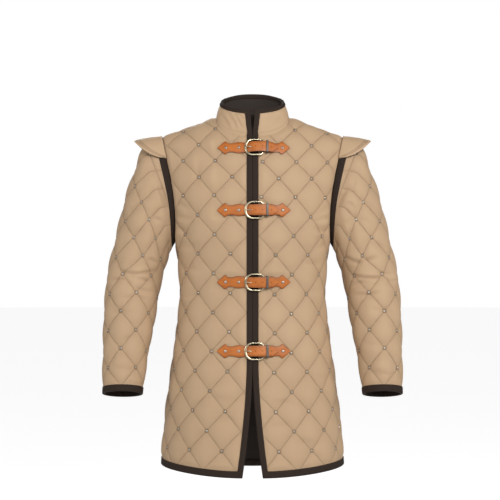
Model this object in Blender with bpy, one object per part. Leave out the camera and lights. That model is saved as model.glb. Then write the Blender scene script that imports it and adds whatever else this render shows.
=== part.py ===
"""Gambeson: a quilted arming jacket in its worn, hollow form.

Metres, +Z up. The wearer faces -Y and the wearer's left is +X. The origin lies between the shoulders, where
the wearer carries the garment.

Each piece of cloth is cut as a maker cuts it: an outline on the flat, a quilting lattice on the flat, and then
one smooth worn form on which the flat piece is laid. What lies on a piece is made from the same form, moved
out.
"""

import math

import bmesh
import bpy
import numpy as np
from mathutils import Vector
from mathutils.geometry import delaunay_2d_cdt

MM = 0.001

# Driving sizes of the body
ARMPIT = -0.296  # level of the armpit below the shoulders
HEM_FRONT = -0.888
HEM_SIDE = -0.870
HEM_BACK = -0.900
LOWEST = -0.930  # the worn form is worked out this far down
RING_POWER = 2.3  # how square a level section of the body is
CLOSE_POWER = 2.1  # how square the front closes over the shoulder
RIDGE_SLOPE = 0.384
RIDGE_ROUND = 0.05
NECK_HALF = 0.095
NECK_SIDE = 0.026
NECK_FRONT = -0.028
NECK_BACK = 0.035
NECK_POWER = 2.2
SPLIT_TOP = -0.610  # the fronts part below this level
SPLIT_HALF = 0.028
SPLIT_DEPTH = 0.295

BODY_SECTIONS = {  # level, half width and half depth below the armpit
    "level": (-0.930, -0.811, -0.707, -0.629, -0.577, -0.525, -0.473, -0.421, -0.369, -0.296),
    "half_width": (0.2400, 0.2315, 0.2210, 0.2105, 0.2025, 0.1965, 0.1900, 0.1875, 0.1895, 0.2000),
    "half_depth": (0.1820, 0.1720, 0.1610, 0.1510, 0.1440, 0.1370, 0.1300, 0.1270, 0.1300, 0.1370),
}
CHEST_WIDTHS = {  # how far up from the armpit to the shoulder, 0 to 1, and the half width of the section there
    "rise": (0.0, 0.17, 0.50, 0.80, 1.0),
    "half_width": (0.2000, 0.2100, 0.2280, 0.2500, 0.3000),
}
ARMHOLE = {  # level and distance from the middle of the armhole seam, seen from the front
    "level": (-0.296, -0.238, -0.188, -0.139, -0.084, -0.0243),
    "out": (0.2000, 0.1990, 0.2015, 0.2090, 0.2205, 0.2330),
}

SLEEVE_SECTIONS = {  # outer and under points seen from the front, half depth, middle of the depth, forward lean
    "outer_x": (
        0.2330, 0.2525, 0.2810, 0.3005, 0.3210, 0.3430, 0.3605, 0.3745, 0.3805, 0.3830, 0.3830, 0.3835, 0.3840,
    ),
    "outer_z": (
        -0.0243, -0.032, -0.053, -0.100, -0.157, -0.239, -0.315, -0.381, -0.447, -0.530, -0.610, -0.686, -0.706,
    ),
    "under_x": (
        0.2000, 0.2085, 0.2145, 0.2185, 0.2235, 0.2300, 0.2370, 0.2430, 0.2500, 0.2620, 0.2745, 0.2830, 0.2850,
    ),
    "under_z": (
        -0.296, -0.3105, -0.3195, -0.331, -0.3465, -0.366, -0.389, -0.425, -0.470, -0.540, -0.613, -0.686, -0.706,
    ),
    "half_depth": (0.064, 0.068, 0.071, 0.073, 0.074, 0.074, 0.072, 0.070, 0.067, 0.062, 0.057, 0.053, 0.0525),
    "middle_y": (0.0, 0.0, 0.0, 0.001, 0.002, 0.004, 0.003, -0.002, -0.014, -0.031, -0.048, -0.0645, -0.069),
    "lean": (0.0, 0.0, -1.0, -2.0, -3.0, -2.0, 2.0, 8.0, 12.0, 13.0, 13.0, 13.0, 13.0),
}
BAND_SECTION = 1  # the armhole band ends at this section
CUFF_SECTION = 11  # the finished cuff is at this section

COLLAR_HALF = 0.080
COLLAR_FRONT_Y = -0.072
COLLAR_BACK_Y = 0.054
COLLAR_FRONT_Z = 0.043
COLLAR_BACK_Z = 0.092
COLLAR_GAP = 0.005  # half the gap between the collar's front corners at the top
COLLAR_CORNER = 0.12  # the turn, in radians, that the top line leaves to a front corner
COLLAR_POWER = 2.15
COLLAR_BELLY = 2.5 * MM
COLLAR_LIFT = 0.6 * MM
COLLAR_THICK = 5.0 * MM
COLLAR_SPARE = 0.5 * MM  # more room inside the collar's binding

# Cloth
THICK = 3.5 * MM  # a quilted wall at its stitch lines
PUFF = 5.5 * MM  # how far a diamond stands out
SEAM = 0.2 * MM  # half the gap at a seam
SEAM_MARGIN = 2.5 * MM
# The quilting: half a diamond across and up, and a corner of a diamond on the flat
FRONT_LATTICE = {"across": 0.044, "up": 0.050, "corner": (0.0595, -0.029)}
BACK_LATTICE = {"across": 0.044, "up": 0.050, "corner": (0.0, -0.029)}
SLEEVE_LATTICE = {"across": 0.0405, "up": 0.0480, "corner": (0.0, 0.034)}

BINDING_WIDE = 15 * MM
HEM_WIDE = 18 * MM
CUFF_WIDE = 17 * MM
COLLAR_WIDE = 12 * MM
BINDING_THICK = 1.3 * MM
BINDING_GAP = 0.6 * MM
MARGIN_PAST = 2.0 * MM  # how far a flat margin runs past its binding
MITRE = 0.25 * MM

ARM_STEPS = 15  # stations from the shoulder to the armpit
BAND_PROUD = 1.2 * MM
BAND_GAP = 0.5 * MM
BAND_DROP = 0.8 * MM  # more gap at the armpit
WING_REACH = 0.073
WING_ARC = 0.250  # the part of the half armhole that a wing is sewn to
WING_THICK = 4.5 * MM
WING_INSET = 1.6 * MM  # from the armhole seam
WING_END = 4 * MM  # how far it reaches at its two ends
WING_CROWN = 5 * MM
WING_SLOPE = -0.10
WING_FLARE = 0.32  # how far its two ends turn to the front and back
WING_LIFT = 0.8 * MM  # over the armhole band

# Closures, as lengths from the centre front, heights above the cloth and half widths, in millimetres
CLOSURE_LEVELS = (-0.058, -0.2165, -0.398, -0.5725)
PRESSED = 2.0 * MM  # the quilting lies pressed to this height under the leather
PRESS_HALF = 17 * MM
PRESS_REACH = (0.020, 0.041, 0.062, 0.083, 0.102)
BILLET = {  # the strap from the wearer's right: under the ring, up through it and on through the keeper
    "along": (-89.5, -80, -68, -56, -44, -28, -12, -3, 6, 13, 20, 27, 34, 42, 51, 57, 64.5),
    "height": (3.6, 3.6, 3.6, 3.6, 3.6, 3.6, 3.7, 5.0, 7.6, 10.9, 13.0, 13.6, 13.0, 10.4, 7.2, 6.3, 6.1),
    "half": (2, 10.5, 18, 16, 14, 14, 14, 14, 14, 14, 14, 14, 14, 14, 13.5, 9, 2),
    "slot": (7, 11),  # the prong passes between these stations
    "thick": 2.2,
}
ANCHOR = {  # the strap from the wearer's left, folded back round the ring's straight bar
    "along": (95.5, 86, 74, 62, 50, 41, 35.5, 26.5, 24.3, 23.4, 24.3, 26.5, 30.5),
    "height": (3.5, 3.5, 3.5, 3.5, 3.6, 4.3, 4.6, 4.35, 5.26, 7.45, 9.64, 10.55, 10.5),
    "half": (2, 10.5, 18, 15.5, 13.5, 12.5, 12, 10.5, 10.5, 10.5, 10.5, 10.5, 10.5),
    "slot": (8, 12),
    "thick": 1.9,
}
SLOT_HALF = 2.4 * MM
RING = {"middle": 4.7, "half_along": 21.8, "half_up": 20.5, "wire": 1.75, "height": 7.45}
RING_CORNERS = {  # by the side of the ring: 1 at the straight bar, -1 at the round end
    1: {"radius": 9.0, "turns": (0, 45, 90)},
    -1: {"radius": 18.0, "turns": (0, 30, 60, 90)},
}
PRONG = {
    "along": (-20.5, -17.0, -6.0, 8.0, 20.0, 24.0, 27.0, 29.2, 30.0),
    "height": (10.4, 10.7, 10.6, 10.5, 10.6, 11.0, 10.8, 9.4, 7.3),
    "radius": (0.5, 1.1, 1.2, 1.3, 1.3, 1.3, 1.3, 1.2, 1.1),
}
KEEPER = {"from": 33.6, "to": 39.4, "low": 2.4, "high": 16.2, "half": 15.6, "thick": 0.8}
RIVETS_ALONG = (-68.0, -34.5, 76.4)
RIVET_RADIUS = 4.0
RIVET_RISE = 2.0
STRAP_TOP = 4.7  # above this the rivet heads sit


def smooth_through(xs, ys, x):
    """A smooth curve through the points (xs, ys), read at x."""
    xs, ys = np.asarray(xs, float), np.asarray(ys, float)
    slopes = np.gradient(ys, xs)
    i = np.clip(np.searchsorted(xs, x) - 1, 0, len(xs) - 2)
    h = xs[i + 1] - xs[i]
    t = np.clip((x - xs[i]) / h, 0.0, 1.0)
    a, b = slopes[i] * h, slopes[i + 1] * h
    rise = ys[i + 1] - ys[i]
    return ys[i] + t * (a + t * (3 * rise - 2 * a - b + t * (a + b - 2 * rise)))


def lengths(points):
    """The length along a line of points, from its first point."""
    steps = np.linalg.norm(np.diff(points, axis=0), axis=1)
    return np.concatenate(([0.0], np.cumsum(steps)))


def evenly(points, count):
    """The same line with count points evenly spaced along it."""
    along = lengths(points)
    at = np.linspace(0.0, along[-1], count)
    return np.stack([np.interp(at, along, points[:, k]) for k in range(3)], axis=1)


def mirrored(points):
    """Points on the other side of the middle."""
    return points * np.array((-1.0, 1.0, 1.0))


class Form:
    """A worn form: rows of points from low to high, columns from left to right as seen from outside."""

    def __init__(self, points, datum_row=0, datum_column=0):
        self.points = points
        across = np.cumsum(np.linalg.norm(np.diff(points, axis=1), axis=2), axis=1)
        up = np.cumsum(np.linalg.norm(np.diff(points, axis=0), axis=2), axis=0)
        across = np.hstack((np.zeros((len(points), 1)), across))
        up = np.vstack((np.zeros((1, points.shape[1])), up))
        self.across = across - across[:, datum_column : datum_column + 1]
        self.up = up - up[datum_row : datum_row + 1]
        normals = np.cross(np.gradient(points, axis=1), np.gradient(points, axis=0))
        self.normals = normals / np.linalg.norm(normals, axis=2, keepdims=True)
        self.start = (float(datum_row), float(datum_column))

    def read(self, table, row, column):
        """A table of the form between its rows and columns."""
        r = int(min(max(row, 0), table.shape[0] - 2))
        c = int(min(max(column, 0), table.shape[1] - 2))
        f, g = row - r, column - c
        low = table[r, c] * (1 - g) + table[r, c + 1] * g
        high = table[r + 1, c] * (1 - g) + table[r + 1, c + 1] * g
        return low * (1 - f) + high * f

    def flat(self, row, column):
        """Where a row and column lie on the flat cloth: the lengths across and up."""
        return np.array((self.read(self.across, row, column), self.read(self.up, row, column)))

    def find(self, across, up):
        """The row and column of a place on the flat cloth."""
        rows, columns = self.across.shape
        row, column = self.start
        for _ in range(14):
            c = int(min(max(column, 0), columns - 2))
            g = column - c
            row = np.interp(up, self.up[:, c] * (1 - g) + self.up[:, c + 1] * g, np.arange(rows))
            r = int(min(max(row, 0), rows - 2))
            f = row - r
            column = np.interp(across, self.across[r] * (1 - f) + self.across[r + 1] * f, np.arange(columns))
        return row, column

    def place(self, flat, height=0.0):
        """The worn place of a flat point, moved out by a height."""
        row, column = self.find(*flat)
        normal = self.read(self.normals, row, column)
        return self.read(self.points, row, column) + normal * (height / np.linalg.norm(normal))

    def column_at(self, row, x):
        """The column of a row that lies at x, where x grows along the row."""
        r = int(min(row, len(self.points) - 2))
        xs = self.points[r, :, 0] * (1 - row + r) + self.points[r + 1, :, 0] * (row - r)
        return float(np.interp(x, xs, np.arange(len(xs))))


# The body

LOW_ROWS = 72
HIGH_ROWS = 46
BODY_COLUMNS = 73


def ridge(x):
    """The height of the shoulder ridge."""
    drop = RIDGE_SLOPE * (np.sqrt(x * x + RIDGE_ROUND**2) - math.hypot(NECK_HALF, RIDGE_ROUND))
    return NECK_SIDE - drop


def split_at(level):
    """How far a front edge stands from the middle at a level."""
    return SPLIT_HALF * (max(0.0, SPLIT_TOP - level) / SPLIT_DEPTH) ** 1.6


def body_quarter(parted):
    """The front quarter on the wearer's left, columns from the middle to the side."""
    angle = np.linspace(0, math.pi / 2, 361)
    wide, deep = np.sin(angle) ** (2 / RING_POWER), -np.abs(np.cos(angle)) ** (2 / RING_POWER)
    rows = []
    for level in np.linspace(LOWEST, ARMPIT, LOW_ROWS):
        half_width = smooth_through(BODY_SECTIONS["level"], BODY_SECTIONS["half_width"], level)
        half_depth = smooth_through(BODY_SECTIONS["level"], BODY_SECTIONS["half_depth"], level)
        ring = np.stack((half_width * wide, half_depth * deep, np.full_like(wide, level)), axis=1)
        first = split_at(level) if parted else 0.0
        kept = ring[ring[:, 0] > first]
        middle = [first, np.interp(first, ring[:, 0], ring[:, 1]), level]
        rows.append(evenly(np.vstack((middle, kept)), BODY_COLUMNS))
    depth = BODY_SECTIONS["half_depth"][-1]
    for turn in np.linspace(0, math.pi / 2, HIGH_ROWS)[1:]:
        rise = math.sin(turn) ** (2 / CLOSE_POWER)
        closing = max(math.cos(turn), 0.0) ** (2 / CLOSE_POWER)
        half_width = smooth_through(CHEST_WIDTHS["rise"], CHEST_WIDTHS["half_width"], rise)
        x = half_width * wide
        z = ARMPIT + (ridge(x) - ARMPIT) * rise
        rows.append(evenly(np.stack((x, depth * deep * closing, z), axis=1), BODY_COLUMNS))
    return np.array(rows)


def high_row(x, z):
    """The row of the body's form above the armpit for a point seen from the front."""
    rise = min(max((z - ARMPIT) / (ridge(x) - ARMPIT), 0.0), 1.0)
    turn = math.asin(rise ** (CLOSE_POWER / 2))
    return LOW_ROWS - 1 + turn / (math.pi / 2) * (HIGH_ROWS - 1)


def low_row(level):
    """The row of the body's form for a level below the armpit."""
    return (level - LOWEST) / (ARMPIT - LOWEST) * (LOW_ROWS - 1)


QUARTER = body_quarter(True)
FRONT = Form(QUARTER, LOW_ROWS - 1, 0)
FRONT_PLAIN = Form(body_quarter(False), LOW_ROWS - 1, 0)
BACK_HALF = FRONT_PLAIN.points * np.array((1.0, -1.0, 1.0))
BACK = Form(np.hstack((BACK_HALF[:, ::-1], mirrored(BACK_HALF)[:, 1:])), LOW_ROWS - 1, BODY_COLUMNS - 1)
SIDE = BODY_COLUMNS - 1


def armhole_line():
    """The armhole seam seen from the front, armpit to shoulder, as x, z with even spacing, and the worn line."""
    level = np.linspace(ARMPIT, ARMHOLE["level"][-1], 241)
    out = smooth_through(ARMHOLE["level"], ARMHOLE["out"], level)
    worn = []
    for x, z in zip(out, level):
        row = high_row(x, z)
        worn.append(FRONT.read(FRONT.points, row, FRONT.column_at(row, x)))
    worn = np.array(worn)
    worn[0, 1] = worn[-1, 1] = 0.0
    return out, level, worn


ARM_OUT, ARM_LEVEL, ARM_WORN = armhole_line()


def arm_stations():
    """The stations of the armhole seam, armpit to shoulder, as x, z seen from the front."""
    along = lengths(ARM_WORN)
    at = np.linspace(0, along[-1], ARM_STEPS + 1)
    return list(zip(np.interp(at, along, ARM_OUT), np.interp(at, along, ARM_LEVEL)))


def front_flat(x, z):
    """Flat place on the left front of a point above the armpit seen from the front."""
    row = high_row(x, z)
    return FRONT.flat(row, FRONT.column_at(row, x))


def back_flat(x, z, side):
    """Flat place on the back of such a point; side is +1 for the wearer's left."""
    row = high_row(x, z)
    column = FRONT_PLAIN.column_at(row, x)
    return BACK.flat(row, SIDE - side * column)


def neck_stations(low, count):
    """The neck seam from the shoulder to the middle, as x, z seen from the front or the back."""
    turns = np.linspace(math.pi / 2, 0, count)
    x = NECK_HALF * np.abs(np.sin(turns)) ** (2 / NECK_POWER)
    z = NECK_SIDE - (NECK_SIDE - low) * np.abs(np.cos(turns)) ** (2 / NECK_POWER)
    return list(zip(x, z))


def shoulder_stations(count):
    """The shoulder seam between the armhole and the neck, as x, z."""
    x = np.linspace(ARMHOLE["out"][-1], NECK_HALF, count)
    return list(zip(x, ridge(x)))[1:-1]


# Meshes


def new_object(name, points, faces, finish):
    """An object from points and faces, with its material."""
    mesh = bpy.data.meshes.new(name)
    mesh.from_pydata([tuple(p) for p in points], [], faces)
    mesh.validate()
    mesh.materials.append(finish)
    mesh.shade_smooth()
    mesh.set_sharp_from_angle(angle=math.radians(40))
    piece = bpy.data.objects.new(name, mesh)
    bpy.context.scene.collection.objects.link(piece)
    return piece


def split_quads(quads):
    """Triangles from quads, all cut the same way."""
    triangles = []
    for a, b, c, d in quads:
        triangles += [(a, b, c), (a, c, d)]
    return triangles


def slab(name, outer, inner, finish, closed=False, holes=()):
    """A closed wall between two grids of points, rows by stations; holes are (row, station) cells left out."""
    rows, stations = outer.shape[:2]
    points = np.vstack((outer.reshape(-1, 3), inner.reshape(-1, 3)))
    half = rows * stations
    span = stations if closed else stations - 1
    cells = {(r, s) for r in range(rows - 1) for s in range(span)} - set(holes)
    quads = []

    def at(r, s):
        return r * stations + s % stations

    for r, s in sorted(cells):
        a, b, c, d = at(r, s), at(r, s + 1), at(r + 1, s + 1), at(r + 1, s)
        quads += [(a, b, c, d), (a + half, d + half, c + half, b + half)]
        sides = (((r - 1, s), a, b), ((r, s + 1), b, c), ((r + 1, s), c, d), ((r, s - 1), d, a))
        for (nr, ns), p, q in sides:
            if (nr, ns % stations if closed else ns) not in cells:
                quads.append((q, p, p + half, q + half))
    return new_object(name, points, split_quads(quads), finish)


FOLD_CUTS = (0, 1, 4)  # these faces of a fold are cut the other way, so that both legs follow the cloth between


def sweep(name, sections, finish, closed=False, caps=((0, 1, 6, 7), (1, 2, 5, 6), (2, 3, 4, 5))):
    """A body swept through sections, an array of stations by points round."""
    count, round_ = sections.shape[:2]
    points = sections.reshape(-1, 3)
    quads = []
    for s in range(count if closed else count - 1):
        t = (s + 1) % count
        for k in range(round_):
            j = (k + 1) % round_
            quad = (s * round_ + k, t * round_ + k, t * round_ + j, s * round_ + j)
            quads.append(quad[1:] + quad[:1] if k in FOLD_CUTS else quad)
    triangles = split_quads(quads)
    if not closed:
        last = (count - 1) * round_
        for cap in caps:
            triangles += split_quads([cap]) if len(cap) == 4 else [cap]
            end = [last + k for k in reversed(cap)]
            triangles += split_quads([end]) if len(cap) == 4 else [tuple(end)]
    piece = new_object(name, points, triangles, finish)
    point_outwards(piece)
    return piece


def point_outwards(piece):
    """Turn the faces of a closed piece outwards."""
    mesh = bmesh.new()
    mesh.from_mesh(piece.data)
    bmesh.ops.recalc_face_normals(mesh, faces=mesh.faces)
    if mesh.calc_volume(signed=True) < 0:
        bmesh.ops.reverse_faces(mesh, faces=mesh.faces)
    mesh.to_mesh(piece.data)
    mesh.free()


def mirror_piece(piece, name):
    """The same piece for the other side of the body."""
    mesh = piece.data.copy()
    mesh.name = name
    for vertex in mesh.vertices:
        vertex.co.x = -vertex.co.x
    mesh.flip_normals()
    twin = bpy.data.objects.new(name, mesh)
    bpy.context.scene.collection.objects.link(twin)
    return twin


# Flat patterns


class Pattern:
    """The finished outline of a piece on the flat, counter-clockwise, as named edges of stations."""

    def __init__(self, form, edges):
        self.form = form
        self.points = []
        self.edge_of = []
        for name, stations in edges:
            self.points += [np.asarray(p, float) for p in stations[:-1]]
            self.edge_of += [name] * (len(stations) - 1)
        self.points = np.array(self.points)

    def moved_in(self, distances):
        """The outline moved inwards, by one distance for each named edge."""
        moved = []
        count = len(self.points)
        for i in range(count):
            here = self.points[i]
            before = here - self.points[i - 1]
            after = self.points[(i + 1) % count] - here
            n1 = np.array((-before[1], before[0])) / np.linalg.norm(before)
            n2 = np.array((-after[1], after[0])) / np.linalg.norm(after)
            d1, d2 = distances[self.edge_of[i - 1]], distances[self.edge_of[i]]
            turn = n1[0] * n2[1] - n1[1] * n2[0]
            if abs(turn) < 0.2:
                middle = (n1 + n2) / np.linalg.norm(n1 + n2)
                moved.append(here + middle * (d1 + d2) / 2 / float(middle @ n1))
            else:
                x = (d1 * n2[1] - d2 * n1[1]) / turn
                y = (n1[0] * d2 - n2[0] * d1) / turn
                moved.append(here + np.array((x, y)))
        return np.array(moved)

    def along(self, line, edge):
        """The stations of one edge on a moved outline, both ends included."""
        picked = [i for i, name in enumerate(self.edge_of) if name == edge]
        return [line[i] for i in picked] + [line[(picked[-1] + 1) % len(line)]]


def inside(point, outline, clear):
    """Whether a point is inside an outline and clear of it by a distance."""
    a, b = outline, np.roll(outline, -1, axis=0)
    side = b - a
    t = np.clip(np.sum((point - a) * side, axis=1) / np.sum(side * side, axis=1), 0, 1)
    nearest = np.linalg.norm(a + side * t[:, None] - point, axis=1).min()
    crossing = (a[:, 1] > point[1]) != (b[:, 1] > point[1])
    with np.errstate(divide="ignore", invalid="ignore"):
        at = a[:, 0] + (point[1] - a[:, 1]) / side[:, 1] * side[:, 0]
    return bool(np.sum(crossing & (point[0] < at)) % 2) and nearest > clear


def lattice_height(point, lattice):
    """How far the quilting stands out: nothing on the stitch lines, most in the middle of a diamond."""
    i = (point[0] - lattice["corner"][0]) / lattice["across"]
    j = (point[1] - lattice["corner"][1]) / lattice["up"]
    hill = abs(math.sin(math.pi * (i + j) / 2) * math.sin(math.pi * (i - j) / 2))
    return PUFF * hill**0.6


def fill_core(outline, extra, lines):
    """Triangles that fill an outline through extra points, keeping the lines between them."""
    points = [Vector(p) for p in outline] + [Vector(p) for p in extra]
    count = len(outline)
    rim = [(i, (i + 1) % count) for i in range(count)]
    shift = [(a + count, b + count) for a, b in lines]
    result = delaunay_2d_cdt(points, rim + shift, [list(range(count))], 1, 1e-7)
    found, faces, sources = result[0], result[2], result[3]
    assert all(len(s) == 1 for s in sources), "a stitch line crosses an edge"
    order = [s[0] for s in sources]
    assert len(found) == len(order)
    return [tuple(order[v] for v in face) for face in faces]


def lattice_points(outline, lattice, step, clear, pressed):
    """Lattice points inside an outline and the stitch lines that join them."""
    pitch = np.array((lattice["across"], lattice["up"])) * step
    low = np.floor((outline.min(axis=0) - lattice["corner"]) / pitch).astype(int)
    high = np.ceil((outline.max(axis=0) - lattice["corner"]) / pitch).astype(int)
    spots, index = [], {}
    for i in range(low[0], high[0] + 1):
        for j in range(low[1], high[1] + 1):
            point = lattice["corner"] + pitch * (i, j)
            if inside(point, outline, clear) and not any(near_press(point, q) for q in pressed):
                index[(i, j)] = len(spots)
                spots.append(point)
    lines = []
    if step < 1:
        for i, j in index:
            for way in (-1, 1):
                if (i - way * j) % 4 == 0 and (i + way, j + 1) in index:
                    lines.append((index[(i, j)], index[(i + way, j + 1)]))
    return spots, lines


def near_press(point, up):
    """Whether a point is on the cloth pressed flat by a closure at a length up."""
    low, high = PRESS_REACH[0] - 8 * MM, PRESS_REACH[-1] + 8 * MM
    return low < point[0] < high and abs(point[1] - up) < PRESS_HALF + 7 * MM


def quilted(name, pattern, lattice, bound, finish, thick=THICK, pressed=(), spare=0.0):
    """A padded piece: raised diamonds outside, plain inside, flat margins under its bindings."""
    edges = set(pattern.edge_of)
    rim = pattern.moved_in({e: BINDING_THICK + BINDING_GAP + spare if e in bound else SEAM for e in edges})
    core = pattern.moved_in({e: bound[e] + MARGIN_PAST if e in bound else SEAM_MARGIN for e in edges})
    form = pattern.form
    spots, lines, under = [], [], []
    if lattice:
        spots, lines = lattice_points(core, lattice, 0.5, 7 * MM, pressed)
        under, _ = lattice_points(core, lattice, 1.0, 14 * MM, ())
    flat_spots = [np.array((x, q + s * PRESS_HALF)) for q in pressed for x in PRESS_REACH for s in (-1, 1)]
    flat_spots = [p for p in flat_spots if inside(p, core, 4 * MM)]
    count = len(rim)
    tops = fill_core(core, spots + flat_spots, lines)
    bottoms = fill_core(core, under, ())
    points = [form.place(p) for p in rim] + [form.place(p) for p in core]
    points += [form.place(p, lattice_height(p, lattice)) for p in spots]
    points += [form.place(p, PRESSED) for p in flat_spots]
    base = len(points)
    points += [form.place(p, -thick) for p in rim] + [form.place(p, -thick) for p in core]
    points += [form.place(p, -thick) for p in under]
    triangles = [tuple(count + v for v in t) for t in tops]
    triangles += [tuple(base + count + v for v in reversed(t)) for t in bottoms]
    for i in range(count):
        j = (i + 1) % count
        triangles += split_quads([(i, j, count + j, count + i)])
        triangles += [tuple(base + v for v in reversed(t)) for t in split_quads([(i, j, count + j, count + i)])]
        triangles += split_quads([(j, i, base + i, base + j)])
    return new_object(name, points, triangles, finish)


def binding(name, pattern, edge, widths, finish, thick=THICK, mitred=(False, False)):
    """A binding folded round one edge of a piece, open towards the piece."""
    form = pattern.form
    others = {e: SEAM for e in set(pattern.edge_of)}
    lines = []
    for share in ("out", "in", "wide"):
        moves = dict(others)
        for e, wide in widths.items():
            moves[e] = {"out": 0.15 * MM if e == edge else 0.0, "in": BINDING_THICK, "wide": wide}[share]
        line = [np.array(p) for p in pattern.along(pattern.moved_in(moves), edge)]
        for at, other, cut in ((0, 1, mitred[0]), (-1, -2, mitred[1])):
            if cut:
                way = line[other] - line[at]
                line[at] = line[at] + way / np.linalg.norm(way) * MITRE
        lines.append(line)
    top, low = BINDING_GAP, -thick - BINDING_GAP
    profile = (
        (2, top + BINDING_THICK), (0, top + BINDING_THICK), (0, low - BINDING_THICK), (2, low - BINDING_THICK),
        (2, low), (1, low), (1, top), (2, top),
    )
    sections = [[form.place(lines[k][s], h) for k, h in profile] for s in range(len(lines[0]))]
    return sweep(name, np.array(sections), finish)


# Body pieces


def level_stations(form, column, levels):
    """Flat places down a column of the body, below the armpit."""
    return [form.flat(low_row(z), column) for z in levels]


def hem_level(share, middle):
    """The hem's level from the middle, 0, to the side, 1."""
    ease = share * share * (3 - 2 * share)
    return middle + (HEM_SIDE - middle) * ease


def front_pattern():
    """The left front's finished outline."""
    hem_shares = np.linspace(0, 1, 15)
    hem = [FRONT.flat(low_row(hem_level(s, HEM_FRONT)), s * SIDE) for s in hem_shares]
    side = level_stations(FRONT, SIDE, np.linspace(HEM_SIDE, ARMPIT, 17))
    arm = [front_flat(x, z) for x, z in arm_stations()]
    arm[0] = side[-1]
    neck = neck_stations(NECK_FRONT, 10)
    shoulder = [front_flat(x, z) for x, z in shoulder_stations(8)]
    neck = [front_flat(x, z) for x, z in neck]
    low_end, top = hem[0], neck[-1]
    middle = [top + (low_end - top) * t for t in np.linspace(0, 1, 21)]
    edges = [
        ("hem", hem), ("side", side), ("arm", arm), ("shoulder", [arm[-1]] + shoulder + [neck[0]]),
        ("neck", neck), ("middle", middle),
    ]
    return Pattern(FRONT, edges)


def back_pattern():
    """The back's finished outline."""
    hem_shares = np.linspace(-1, 1, 27)
    hem = [BACK.flat(low_row(hem_level(abs(s), HEM_BACK)), SIDE + s * SIDE) for s in hem_shares]
    side_levels = np.linspace(HEM_SIDE, ARMPIT, 17)
    right = level_stations(BACK, 2 * SIDE, side_levels)
    left = level_stations(BACK, 0, side_levels)
    arms = {s: [back_flat(x, z, s) for x, z in arm_stations()] for s in (1, -1)}
    arms[-1][0], arms[1][0] = right[-1], left[-1]
    necks = {s: [back_flat(x, z, s) for x, z in neck_stations(NECK_BACK, 10)] for s in (1, -1)}
    shoulders = {s: [back_flat(x, z, s) for x, z in shoulder_stations(8)] for s in (1, -1)}
    edges = [
        ("hem", hem), ("side", right), ("arm", arms[-1]),
        ("shoulder", [arms[-1][-1]] + shoulders[-1] + [necks[-1][0]]),
        ("neck", necks[-1] + necks[1][-2::-1]),
        ("shoulder", [necks[1][0]] + shoulders[1][::-1] + [arms[1][-1]]),
        ("arm", arms[1][::-1]), ("side", left[::-1]),
    ]
    return Pattern(BACK, edges)


# Sleeves

SLEEVE_HALF_COLUMNS = ARM_STEPS * 4
SLEEVE_ROWS = 110


def sleeve_form():
    """The left sleeve's form, its row for the band's edge and its row for the finished cuff."""
    table = {k: np.array(v, float) for k, v in SLEEVE_SECTIONS.items()}
    middles = np.stack((table["outer_x"] + table["under_x"], table["outer_z"] + table["under_z"]), axis=1) / 2
    marks = lengths(middles)
    at = np.linspace(0, marks[-1], SLEEVE_ROWS)
    read = {k: np.array([smooth_through(marks, v, s) for s in at]) for k, v in table.items()}
    turn = np.linspace(0, math.pi, 181)
    rings = []
    for n in range(SLEEVE_ROWS):
        outer = np.array((read["outer_x"][n], 0.0, read["outer_z"][n]))
        under = np.array((read["under_x"][n], 0.0, read["under_z"][n]))
        middle = (outer + under) / 2 + np.array((0.0, read["middle_y"][n], 0.0))
        lean = math.radians(read["lean"][n])
        fore = np.array((0.0, -math.cos(lean), math.sin(lean))) * read["half_depth"][n]
        halves = []
        for side in (1, -1):
            reach = np.outer(np.cos(turn), (outer - under) / 2)
            ellipse = middle + reach + np.outer(np.sin(turn) * side, fore)
            halves.append(evenly(ellipse, SLEEVE_HALF_COLUMNS + 1))
        rings.append(halves)
    blend_end = marks[4]
    seam = evenly(ARM_WORN[::-1], SLEEVE_HALF_COLUMNS + 1)
    shapes = [seam, seam * np.array((1.0, -1.0, 1.0))]
    start = [np.array(half) for half in rings[0]]
    rows = []
    for n in range(SLEEVE_ROWS):
        share = min(at[n] / blend_end, 1.0)
        keep = 1 - share * share * (3 - 2 * share)
        front, rear = (rings[n][k] + keep * (shapes[k] - start[k]) for k in (0, 1))
        rows.append(np.vstack((front[::-1], rear[1:])))
    rows = np.array(rows)[::-1]
    last = SLEEVE_ROWS - 1
    band_row = last - marks[BAND_SECTION] / marks[-1] * last
    cuff_row = last - marks[CUFF_SECTION] / marks[-1] * last
    return rows, band_row, cuff_row


SLEEVE_POINTS, BAND_ROW, CUFF_ROW = sleeve_form()
SLEEVE = Form(SLEEVE_POINTS, 0, SLEEVE_HALF_COLUMNS)
SLEEVE_COLUMNS = 2 * SLEEVE_HALF_COLUMNS
CUFF_STEPS = 26  # stations round a cuff


def sleeve_pattern():
    """The left sleeve's finished outline."""
    cuff = [SLEEVE.flat(CUFF_ROW, c) for c in np.linspace(0, SLEEVE_COLUMNS, CUFF_STEPS + 1)]
    rows = np.linspace(CUFF_ROW, BAND_ROW, 13)
    back = [SLEEVE.flat(r, SLEEVE_COLUMNS) for r in rows]
    front = [SLEEVE.flat(r, 0) for r in rows]
    head = [SLEEVE.flat(BAND_ROW, c) for c in np.linspace(SLEEVE_COLUMNS, 0, 2 * ARM_STEPS + 1)]
    return Pattern(SLEEVE, [("cuff", cuff), ("seam", back), ("head", head), ("seam", front[::-1])])


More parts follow.
